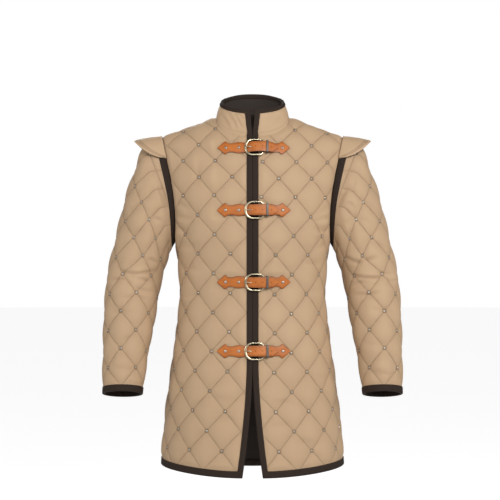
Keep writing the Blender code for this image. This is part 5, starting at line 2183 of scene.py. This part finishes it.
class Garment:
    """The sewn cloth of the gambeson: body, sleeves, collar, wings and bindings."""

    CLOSURE_LEVELS = (-0.058, -0.2165, -0.398, -0.5725)
    QUILT_PITCH = 5.0 * MM
    TAPE_PITCH = 4.5 * MM
    STUD = (3.1 * MM, 3.1 * MM, 1.8 * MM)
    STITCH = (1.7 * MM, 0.45 * MM, 0.4 * MM)
    TAPE_INSET = 2.2 * MM
    COLLAR_ROW = 9 * MM
    COLLAR_END = 13 * MM
    CUFF_STATIONS = 104
    BAND_STATIONS = 120
    BAND_RISE = 1.2 * MM
    BAND_SECTION = (
        (0.0, -0.4), (0.05, 0.7), (0.2, 1.0), (0.5, 1.15), (0.8, 1.0), (0.95, 0.7), (1.0, -0.4))

    def __init__(self, finishes: Finishes, repeats: Repeats) -> None:
        """Work out every form and cut.

        Args:
            finishes: The materials.
            repeats: The trees for studs and stitches.
        """
        self.finishes = finishes
        self.repeats = repeats
        self.trunk = Trunk()
        self.sleeve = SleeveShape(self.trunk)
        self.collar = CollarShape(self.trunk)
        self.closures_up = [self.trunk.closure_up(level) for level in self.CLOSURE_LEVELS]

    def hem(self, form: WornForm, shares: Array, middle: float, columns: Array) -> Array:
        """The hem's stations.

        Args:
            form: The form they are on.
            shares: How far each is from the middle, 0, to the side, 1.
            middle: The hem's level in the middle.
            columns: Their columns on the form.

        Returns:
            The stations on the flat.
        """
        levels = middle + (BODY_SIZES.hem_side - middle) * eased(np.abs(shares))
        return form.flat(self.trunk.low_row(levels), columns)

    def front_cut(self) -> Cut:
        """The left front's flat cut.

        Returns:
            The cut, with its edges named.
        """
        trunk, side = self.trunk, Trunk.COLUMNS - 1
        shares = np.linspace(0, 1, 29)
        hem = self.hem(trunk.front, shares, BODY_SIZES.hem_front, shares * side)
        levels = np.linspace(BODY_SIZES.hem_side, BODY_SIZES.armpit, 33)
        seam = trunk.front.flat(trunk.low_row(levels), side)
        arm = trunk.front_flats(trunk.arm_stations(60))
        arm[0] = seam[-1]
        neck = trunk.front_flats(trunk.neck_stations(BODY_SIZES.neck_front, 28))
        shoulder = trunk.front_flats(trunk.shoulder_stations(20))
        middle = neck[-1] + (hem[0] - neck[-1]) * np.linspace(0, 1, 41)[:, None]
        top = np.vstack((arm[-1], shoulder, neck[0]))
        return Cut(trunk.front, [
            ("hem", hem), ("side", seam), ("arm", arm),
            ("shoulder", top), ("neck", neck), ("middle", middle),
        ])

    def back_cut(self) -> Cut:
        """The back's flat cut.

        Returns:
            The cut, with its edges named.
        """
        trunk, side = self.trunk, Trunk.COLUMNS - 1
        shares = np.linspace(-1, 1, 55)
        hem = self.hem(trunk.back, shares, BODY_SIZES.hem_back, side + shares * side)
        rows = trunk.low_row(np.linspace(BODY_SIZES.hem_side, BODY_SIZES.armpit, 33))
        right, left = trunk.back.flat(rows, 2 * side), trunk.back.flat(rows, 0)
        stations = {
            "arm": trunk.arm_stations(60),
            "shoulder": trunk.shoulder_stations(20),
            "neck": trunk.neck_stations(BODY_SIZES.neck_back, 28),
        }
        flats = {(name, way): trunk.back_flats(at, way) for name, at in stations.items() for way in (1, -1)}
        flats["arm", -1][0], flats["arm", 1][0] = right[-1], left[-1]
        return Cut(trunk.back, [
            ("hem", hem), ("side", right), ("arm", flats["arm", -1]),
            ("shoulder", np.vstack((flats["arm", -1][-1], flats["shoulder", -1], flats["neck", -1][0]))),
            ("neck", np.vstack((flats["neck", -1], flats["neck", 1][-2::-1]))),
            ("shoulder", np.vstack((flats["neck", 1][0], flats["shoulder", 1][::-1], flats["arm", 1][-1]))),
            ("arm", flats["arm", 1][::-1]), ("side", left[::-1]),
        ])

    def trim(self, piece: ClothPiece) -> list[Object]:
        """A quilted piece's studs and stitches.

        Args:
            piece: The piece.
        """
        studs = self.repeats.lay(
            f"{piece.name}_studs", self.repeats.studs, piece.studs(), self.STUD, self.finishes.nickel)
        made = [dress(studs, "steel")]
        spots = piece.stitches(self.QUILT_PITCH)
        made.append(self.sew(piece.name, spots, self.finishes.thread, "drill"))
        return made

    def sew(self, name: str, spots: Spots, thread: Material, slot: str) -> Object:
        """The stitches of a piece.

        Args:
            name: The piece's name.
            spots: Where they lie.
            thread: Their material.
            slot: The record's material slot.

        Returns:
            The stitches.
        """
        made = self.repeats.lay(f"{name}_stitches", self.repeats.stitches, spots, self.STITCH, thread)
        return dress(made, slot)

    def add_cloth(self, piece: ClothPiece, extras: list[Object]) -> None:
        """Make a cloth piece, with its studs and stitches.

        Args:
            piece: The piece.
            extras: The bindings sewn to it.
        """
        wall = dress(piece.build(self.finishes.drill, self.finishes.lining), "drill", piece.name)
        on_it = extras + (self.trim(piece) if piece.lattice else [])

    def add_binding(self, binding: Binding) -> list[Object]:
        """Make a binding that replaces its CAD node, and its stitches.

        Args:
            binding: The binding.
        """
        made = [dress(binding.build(self.finishes.tape), "twill", binding.name)]
        spots = binding.stitches(self.TAPE_INSET, self.TAPE_PITCH)
        made.append(self.sew(binding.name, spots, self.finishes.tape_thread, "twill"))
        return made

    def build_fronts(self) -> None:
        """The two fronts with their edge and hem bindings."""
        cut = self.front_cut()
        widths = {"hem": CLOTH.hem_wide, "middle": CLOTH.binding_wide}
        for side in Side:
            names = [f"{part}_binding_{side.value}" for part in ("front", "hem")]
            edge = Binding(names[0], cut, ("middle",), widths, side, mitred=(False, True))
            hem = Binding(names[1], cut, ("hem",), widths, side, mitred=(True, False))
            piece = ClothPiece(
                f"front_{side.value}", cut, FRONT_LATTICES[side], widths, side,
                folds(Face.FRONT, BODY_FOLDS[side]), pressed=tuple(self.closures_up))
            self.add_cloth(piece, self.add_binding(edge) + self.add_binding(hem))

    def build_back(self) -> None:
        """The back with its hem binding."""
        cut, widths = self.back_cut(), {"hem": CLOTH.hem_wide}
        hem = Binding("hem_binding_back", cut, ("hem",), widths)
        piece = ClothPiece("back", cut, BACK_LATTICE, widths, folds=folds(Face.BACK, BACK_FOLDS))
        self.add_cloth(piece, self.add_binding(hem))

    def build_collar(self) -> None:
        """The standing collar and its binding."""
        cut = self.collar.cut()
        widths = {name: CLOTH.collar_wide for name in ("end", "top", "start")}
        tape = Binding("collar_binding", cut, ("end", "top", "start"), widths, drop=COLLAR_SIZES.thick)
        piece = ClothPiece(
            "collar", cut, None, widths, folds=folds(Face.FRONT, COLLAR_FOLDS), thick=COLLAR_SIZES.thick,
            spare=COLLAR_SIZES.spare, stitched_row=self.COLLAR_ROW, fold_fade=7 * MM)
        extras = self.add_binding(tape) + self.sew_collar(piece)
        self.add_cloth(piece, extras)

    def sew_collar(self, piece: ClothPiece) -> list[Object]:
        """The stitched row above the collar's seam.

        Args:
            piece: The collar.
        """
        moves = {name: self.COLLAR_ROW if name == "base" else self.COLLAR_END for name in piece.cut.edge_of}
        line = piece.cut.along(piece.cut.moved_in(moves), "base")
        line = evenly(line, int(lengths(line)[-1] / self.QUILT_PITCH))[1:-1]
        spots = piece.spots_at(line, unit(np.gradient(line, axis=0)), 0.15 * MM)
        return [self.sew("collar", spots, self.finishes.thread, "drill")]

    def build_sleeves(self) -> None:
        """The two sleeves with their cuff bindings and armhole bands."""
        cut = self.sleeve.cut()
        for side in Side:
            rows = SLEEVE_FOLDS[side]
            creases = folds(Face.FRONT, rows) + folds(Face.BACK, SLEEVE_BACK_FOLDS)
            piece = ClothPiece(
                f"sleeve_{side.value}", cut, SLEEVE_LATTICE, {"cuff": CLOTH.cuff_wide}, side, creases,
                fold_fade=8 * MM)
            self.add_cloth(piece, [self.cuff(side)])
            self.band(side)
            self.wing(side)

    def cuff(self, side: Side) -> Object:
        """The binding round a cuff.

        Args:
            side: The cuff's side.

        Returns:
            The piece.
        """
        shape = self.sleeve
        columns = np.linspace(0, shape.last_column, self.CUFF_STATIONS + 1)[:-1]
        start = shape.form.flat(shape.cuff_row, columns)
        profile = tape_profile(CLOTH.binding_thick, CLOTH.thick)
        inside = CLOTH.binding_thick / CLOTH.cuff_wide
        profile += [(inside, -CLOTH.thick - CLOTH.binding_gap), (inside, CLOTH.binding_gap)]
        flats = [start + (0.0, share * CLOTH.cuff_wide) for share, _ in profile]
        lines = [shape.form.place(line, height) for line, (_, height) in zip(flats, profile)]
        flats = [line + (0.0, height) for line, (_, height) in zip(flats, profile)]
        name = f"cuff_binding_{side.value}"
        return dress(loft_piece(name, lines, flats, True, self.finishes.tape, side), "twill", name)

    def band(self, side: Side) -> None:
        """The plain band between an armhole and its sleeve.

        Args:
            side: The armhole's side.
        """
        shape, form = self.sleeve, self.sleeve.form
        columns = np.linspace(0, shape.last_column, self.BAND_STATIONS + 1)[:-1]
        low_share = np.abs(columns / shape.HALF_COLUMNS - 1)
        fade = 1 - np.clip((low_share - 0.55) / 0.3, 0, 1)
        low = form.flat(shape.band_row, columns) + (0.0, 0.25 * MM)
        top = form.flat(shape.last_row, columns)
        top[:, 1] -= 0.5 * MM + 0.8 * MM * (1 - fade)
        section = [(share, self.BAND_RISE * fade * rise) for share, rise in self.BAND_SECTION]
        section += [(share, -CLOTH.thick) for share in (1.0, 0.5, 0.0)]
        flats = [low + (top - low) * share for share, _ in section]
        lines = [form.place(line, height) for line, (_, height) in zip(flats, section)]
        name = f"armhole_band_{side.value}"
        piece = dress(loft_piece(name, lines, flats, True, self.finishes.tape, side), "twill", name)

    def wing(self, side: Side) -> None:
        """A shoulder wing and its stitches.

        Args:
            side: The wing's side.
        """
        wing = Wing(side, self.sleeve)
        name = f"wing_{side.value}"
        piece = dress(wing.build(name, self.finishes.drill, self.finishes.lining), "drill", name)
        self.sew(name, wing.stitches(self.TAPE_PITCH), self.finishes.thread, "drill")

    def build(self) -> None:
        """Make the whole garment."""
        self.build_back()
        self.build_fronts()
        self.build_collar()
        self.build_sleeves()


# Leather closures


@dataclass(frozen=True)
class StrapPath:
    """A strap in millimetres: its path over the cloth, and half its width along it."""

    along: Row
    height: Row
    outline: tuple[tuple[float, float], ...]
    thick: float
    holes: Row = ()


BILLET = StrapPath(
    (-89.5, -80, -68, -56, -44, -28, -12, -3, 6, 13, 20, 27, 34, 42, 51, 57, 64.5),
    (3.6, 3.6, 3.6, 3.6, 3.6, 3.6, 4.6, 10.2, 12.4, 13.1, 13.5, 13.6, 13.0, 10.4, 7.2, 6.3, 6.1),
    (
        (-89.5, 1.5), (-82, 8.5), (-74, 15.5), (-70.5, 18.2), (-66.5, 17), (-63, 13.4), (-58, 12.2),
        (-50, 12.4), (-42, 14.6), (-36, 15.6), (-30, 15.2), (-24, 13.8), (34, 14), (51, 13.5), (57, 9),
        (64.5, 2),
    ),
    2.2, (8.0, 24.5, 46.0))
ANCHOR = StrapPath(
    (95.5, 86, 74, 62, 50, 41, 35.5, 26.5, 24.3, 23.4, 24.3, 26.5, 30.5),
    (3.5, 3.5, 3.5, 3.5, 3.6, 4.3, 4.6, 4.35, 5.26, 7.45, 9.64, 10.55, 10.5),
    (
        (26.5, 10.5), (35.5, 12), (41, 12.8), (46, 14.8), (50, 14.6), (56, 12.6), (63, 12.2), (68.5, 13.4),
        (71.5, 17), (75.5, 18.2), (79.5, 15.5), (87.5, 8.5), (95.5, 1.5),
    ),
    1.9)


@dataclass
class Closure:
    """One leather closure: two straps, a ring with its prong, a keeper and three rivets.

    Attributes:
        number: Its number from the top.
        up: How far up the flat front it lies.
        trunk: The body it is on.
        finishes: The materials.
        repeats: The trees for the rivet heads.
    """

    number: int
    up: float
    trunk: Trunk
    finishes: Finishes
    repeats: Repeats
    ring_middle: float = 4.7
    ring_half_along: float = 21.8
    ring_half_up: float = 20.5
    ring_height: float = 7.45
    wire: float = 1.75
    bar_corner: float = 9.0
    round_corner: float = 18.0
    keeper_from: float = 33.6
    keeper_to: float = 39.4
    keeper_low: float = 2.4
    keeper_high: float = 16.2
    keeper_half: float = 15.6
    keeper_thick: float = 0.8
    keeper_corner: float = 2.0
    rivets: Row = (-68.0, -34.5, 76.4)
    strap_top: float = 4.7

    CORNERS = ((1, 1), (-1, 1), (-1, -1), (1, -1))
    RING_STATIONS = 120
    RIM_SHADE = 0.35
    HOLE = (1.5 * MM, 1.5 * MM, 0.36 * MM)
    RIVET = (3.9 * MM, 3.9 * MM, 2.1 * MM)

    def place(self, along: Array, across: Array, height: Array) -> Array:
        """Worn places over the fronts.

        Args:
            along: Lengths from the centre front, below 0 on the wearer's right, in millimetres.
            across: Lengths up from the closure's middle, in millimetres.
            height: Heights over the cloth's form, in millimetres.

        Returns:
            The points, in metres.
        """
        given = [np.asarray(values, float) for values in (along, across, height)]
        along, across, height = np.broadcast_arrays(*given)
        flats = np.stack((np.abs(along).ravel() * MM, self.up + across.ravel() * MM), axis=1)
        worn = self.trunk.front.place(flats, height.ravel() * MM)
        worn[:, 0] *= np.where(along.ravel() < 0, -1.0, 1.0)
        return worn.reshape((*along.shape, 3))

    def place_smooth(self, along: Array, across: Array, height: Array) -> Array:
        """Worn places as `place` finds them, with the cloth's small unevenness taken out.

        Args:
            along: Lengths from the centre front, in millimetres.
            across: Lengths up from the closure's middle, in millimetres.
            height: Heights over the cloth's form, in millimetres.

        Returns:
            The points, in metres.
        """
        worn = self.place(along, across, height)
        terms = (np.ones_like(along), along, across, height, along**2, across**2)
        known = np.stack([term.ravel() for term in terms], axis=1)
        fit = np.linalg.lstsq(known, worn.reshape(-1, 3), rcond=None)[0]
        return (known @ fit).reshape(worn.shape)

    def name(self, part: str) -> str:
        """The CAD node of one of its parts."""
        return f"closure_{self.number}_{part}"

    def strap(self, part: str, path: StrapPath) -> None:
        """A strap with rounded, burnished edges, and its holes with painted shade in them.

        Args:
            part: The strap's name in the closure.
            path: Its path and outline.
        """
        along, height, _ = self.curve(path.along, path.height, 6)
        ways = unit(np.stack((np.gradient(along), np.gradient(height)), axis=1))
        half = np.interp(along, *zip(*path.outline))
        section = [(1.0, 0.0, 0.0), (1.0, 0.35, 0.72), (1.0, 0.9, 1.0), (0.5, 0.0, 1.0), (0.0, 0.0, 1.0)]
        section += [(-a, b, c) for a, b, c in section[3::-1]]
        section += [(a, b, -c) for a, b, c in section[1:8][::-1]]
        lines, edge, flats = [], [], []
        for share, inset, lift in section:
            at_rim = abs(share) == 1.0
            side = (half - np.minimum(inset, half * 0.5)) * share if at_rim else half * share
            rise = lift * path.thick / 2
            lines.append(self.place(along - ways[:, 1] * rise, side, height + ways[:, 0] * rise))
            edge.append(np.full(len(along), (1.0 if inset < 0.5 else self.RIM_SHADE) * at_rim))
            flats.append(np.stack((along, side), axis=1) * MM)
        node = self.name(part)
        shade = np.array(edge).T.ravel()
        piece = loft_piece(node, lines, flats, False, self.finishes.leather, shade_and_burnish=shade)
        dress(piece, "leather", node)
        if path.holes:
            self.punch(part, path, along, height)

    def curve(
        self, along: Row, height: Row, parts: int
    ) -> tuple[Array, Array, Array]:
        """A smooth path through stations.

        Args:
            along: The stations' lengths from the centre front, in millimetres.
            height: Their heights, in millimetres.
            parts: How many parts each step is cut into.

        Returns:
            The lengths, the heights and the marks that they were read at.
        """
        stations = np.arange(len(along), dtype=float)
        marks = np.linspace(0, stations[-1], (len(stations) - 1) * parts + 1)
        return smooth_through(stations, along, marks), smooth_through(stations, height, marks), marks

    def punch(self, part: str, path: StrapPath, along: Array, height: Array) -> None:
        """The strap's holes, as dark discs of painted shade set in its top.

        Args:
            part: The strap's name in the closure.
            path: Its path.
            along: The lengths of its stations.
            height: The stations' heights.
        """
        tops = [float(np.interp(at, along, height)) + path.thick / 2 for at in path.holes]
        points = np.array([self.place(at, 0.0, top - 0.25) for at, top in zip(path.holes, tops)])
        facing = np.tile(unit(self.place(0, 0, 9.0) - self.place(0, 0, 1.0)), (len(points), 1))
        spots = Spots(points, facing, np.tile(ALONG, (len(points), 1)))
        name = self.name(f"{part}_holes")
        dress(self.repeats.lay(name, self.repeats.studs, spots, self.HOLE, self.finishes.painted_shade), "leather")

    def ring(self) -> None:
        """The wire ring, straight at its bar and round at the other end."""
        path = []
        for sx, sy in self.CORNERS:
            radius = self.bar_corner if sx > 0 else self.round_corner
            middle = (sx * (self.ring_half_along - radius), sy * (self.ring_half_up - radius))
            turns = np.radians(np.linspace(0, 90, 17))
            for turn in turns if sx * sy > 0 else turns[::-1]:
                reach = radius * math.cos(turn), radius * math.sin(turn)
                path.append((middle[0] + sx * reach[0], middle[1] + sy * reach[1]))
        path = evenly(np.array(path + path[:1]), self.RING_STATIONS + 1)[:-1]
        ways = unit(np.roll(path, -1, axis=0) - np.roll(path, 1, axis=0))
        out = np.stack((ways[:, 1], -ways[:, 0]), axis=1)
        turn = np.linspace(0, 2 * math.pi, 13)[:-1]
        broad = self.wire * (1.15 + 0.55 * eased(-path[:, :1] / self.ring_half_along))
        reach, rise = broad * np.cos(turn), self.wire * 1.1 * np.sin(turn)
        along = path[:, :1] + out[:, :1] * reach + self.ring_middle
        across = path[:, 1:] + out[:, 1:] * reach
        points = self.place_smooth(along, across, self.ring_height + rise + 0 * along)
        self.metal_loft("ring", points, True, self.finishes.brass)

    def metal_loft(self, part: str, points: Array, closed: bool, finish: Material) -> None:
        """A metal part lofted through sections.

        Args:
            part: Its name in the closure.
            points: Its points, by section.
            closed: Whether the last section joins the first.
            finish: Its material.
        """
        node = self.name(part)
        faces = loft_faces(points.shape[0], points.shape[1], closed)
        slot = "brass" if finish == self.finishes.brass else "steel"
        dress(outwards(new_piece(node, points.reshape(-1, 3), faces, [finish])), slot, node)

    def prong(self) -> None:
        """The prong, from the ring's round end through the strap and over the bar."""
        at = (-20.5, -17.0, -6.0, 8.0, 20.0, 24.0, 27.0, 29.2, 30.0)
        heights = (10.4, 10.7, 10.6, 10.5, 10.6, 11.0, 10.8, 9.4, 7.3)
        radii = (0.5, 1.1, 1.2, 1.3, 1.3, 1.3, 1.3, 1.2, 1.1)
        along, height, marks = self.curve(at, heights, 6)
        radius = np.interp(marks, np.arange(len(radii)), radii)
        ways = unit(np.stack((np.gradient(along), np.gradient(height)), axis=1))
        turn = np.linspace(0, 2 * math.pi, 13)[:-1]
        lift, side = radius[:, None] * np.cos(turn), radius[:, None] * np.sin(turn)
        points = self.place(along[:, None] - ways[:, 1:] * lift, side, height[:, None] + ways[:, :1] * lift)
        self.metal_loft("prong", points, False, self.finishes.brass)

    def keeper(self) -> None:
        """The metal keeper round both straps."""
        corner, half = self.keeper_corner, self.keeper_half
        middle, tall = (self.keeper_low + self.keeper_high) / 2, (self.keeper_high - self.keeper_low) / 2
        path, out = [], []
        for sx, sy in self.CORNERS:
            turns = np.radians(np.linspace(0, 90, 6))
            for turn in turns if sx * sy > 0 else turns[::-1]:
                way = (sx * math.cos(turn), sy * math.sin(turn))
                path.append((sx * (half - corner) + way[0] * corner, sy * (tall - corner) + way[1] * corner))
                out.append(way)
        path, out = np.array(path), np.array(out)
        wide = (self.keeper_to - self.keeper_from) / 2
        centre = (self.keeper_to + self.keeper_from) / 2
        left = [(-1, -0.8), (-1, -0.25), (-0.9, 0), (-0.4, 0.12)]
        section = left[1:] + [(-shift, depth) for shift, depth in left[::-1]] + left[:1]
        shift, depth = np.array(section).T
        along = centre + shift[None, :] * wide + 0 * path[:, :1]
        across = path[:, :1] + out[:, :1] * depth * self.keeper_thick
        height = middle + path[:, 1:] + out[:, 1:] * depth * self.keeper_thick
        self.metal_loft("keeper", self.place(along, across, height), True, self.finishes.aged)

    def rivet_heads(self) -> None:
        """The three domed rivet heads."""
        points = self.place(np.array(self.rivets), 0.0, self.strap_top + 0.2)
        facing = unit(self.place(np.array(self.rivets), 0.0, self.strap_top + 5.0) - points)
        spots = Spots(points, facing, np.tile(ALONG, (len(points), 1)))
        name = self.name("rivets")
        piece = self.repeats.lay(name, self.repeats.studs, spots, self.RIVET, self.finishes.nickel)
        dress(piece, "steel", *(self.name(f"rivet_{k}") for k in (1, 2, 3)))

    def build(self) -> None:
        """Make the closure."""
        self.strap("billet", BILLET)
        self.strap("anchor", ANCHOR)
        self.ring()
        self.prong()
        self.keeper()
        self.rivet_heads()


# Studio


@dataclass(frozen=True)
class Lamp:
    """A soft area light: where it stands, its size in metres and its power in watts."""

    name: str
    place: tuple[float, float, float]
    size: float
    power: float


@dataclass(frozen=True)
class Studio:
    """The camera at the photograph's angle, a plain pale floor and soft light."""

    eye: tuple[float, float, float] = (-0.0065, -4.5, -0.317)
    lens: float = 124.6
    aim: tuple[float, float, float] = (0.0, 0.0, -0.40)
    floor_level: float = -1.45
    lamps: tuple[Lamp, ...] = (
        Lamp("key", (1.0, -3.8, 1.6), 1.2, 116.0),
        Lamp("right", (3.3, -1.7, 0.8), 1.4, 44.0),
        Lamp("left", (-3.3, -1.7, 0.8), 1.4, 44.0),
        Lamp("back", (-0.6, 3.2, 1.2), 1.8, 75.0),
    )

    def camera(self) -> None:
        """Set up the camera."""
        data = bpy.data.cameras.new("camera")
        data.lens, data.sensor_width = self.lens, 36.0
        data.clip_start, data.clip_end = 0.05, 100.0
        camera = bpy.data.objects.new("camera", data)
        camera.location = self.eye
        camera.rotation_euler = (math.pi / 2, 0.0, 0.0)
        bpy.context.scene.collection.objects.link(camera)
        bpy.context.scene.camera = camera

    def lights(self) -> None:
        """Set up the lights and the pale surroundings."""
        for lamp in self.lamps:
            data = bpy.data.lights.new(lamp.name, "AREA")
            data.shape, data.size, data.energy = "SQUARE", lamp.size, lamp.power
            light = bpy.data.objects.new(lamp.name, data)
            light.location = lamp.place
            way = Vector(self.aim) - Vector(lamp.place)
            light.rotation_euler = way.to_track_quat("-Z", "Y").to_euler()
            bpy.context.scene.collection.objects.link(light)
        world = bpy.data.worlds.new("pale room")
        world.use_nodes = True
        graph = Graph(world.node_tree)
        seen = graph.add("ShaderNodeLightPath").outputs["Is Camera Ray"]
        shown = world.node_tree.nodes["Background"]
        shown.inputs["Color"].default_value = (1.0, 1.0, 1.0, 1.0)
        strength = graph.add("ShaderNodeMapRange", {0: seen, 3: 0.20, 4: 1.0}).outputs[0]
        world.node_tree.links.new(strength, shown.inputs["Strength"])
        bpy.context.scene.world = world
        bpy.context.scene.view_settings.view_transform = "Standard"

    def floor(self) -> None:
        """Lay the floor."""
        count, radius = 96, 30.0
        turn = np.linspace(0, 2 * math.pi, count + 1)[:-1]
        level = np.full(count, self.floor_level)
        points = np.stack((radius * np.cos(turn), radius * np.sin(turn), level), axis=1)
        finish, graph, shader = blank_material("pale floor")
        seen = graph.add("ShaderNodeLightPath").outputs["Is Camera Ray"]
        glow = graph.blend(seen, (0.0, 0.0, 0.0, 1.0), (1.0, 1.0, 1.0, 1.0))
        graph.wire(shader, {
            "Emission Color": glow,
            "Base Color": (0.7, 0.7, 0.7, 1.0),
            "Roughness": 0.9,
            "Emission Strength": 0.80,
        })
        new_piece("floor", points, [tuple(range(count))], [finish])

    def build(self) -> None:
        """Set up the studio."""
        self.camera()
        self.lights()
        self.floor()


def main() -> None:
    """Dress the gambeson and set up the studio."""
    logging.basicConfig(level=logging.INFO, format="%(message)s")
    Studio().build()
    finishes, repeats = Finishes(), Repeats()
    garment = Garment(finishes, repeats)
    garment.build()
    for number, up in enumerate(garment.closures_up, 1):
        Closure(number, up, garment.trunk, finishes, repeats).build()


if __name__ == "__main__":
    main()
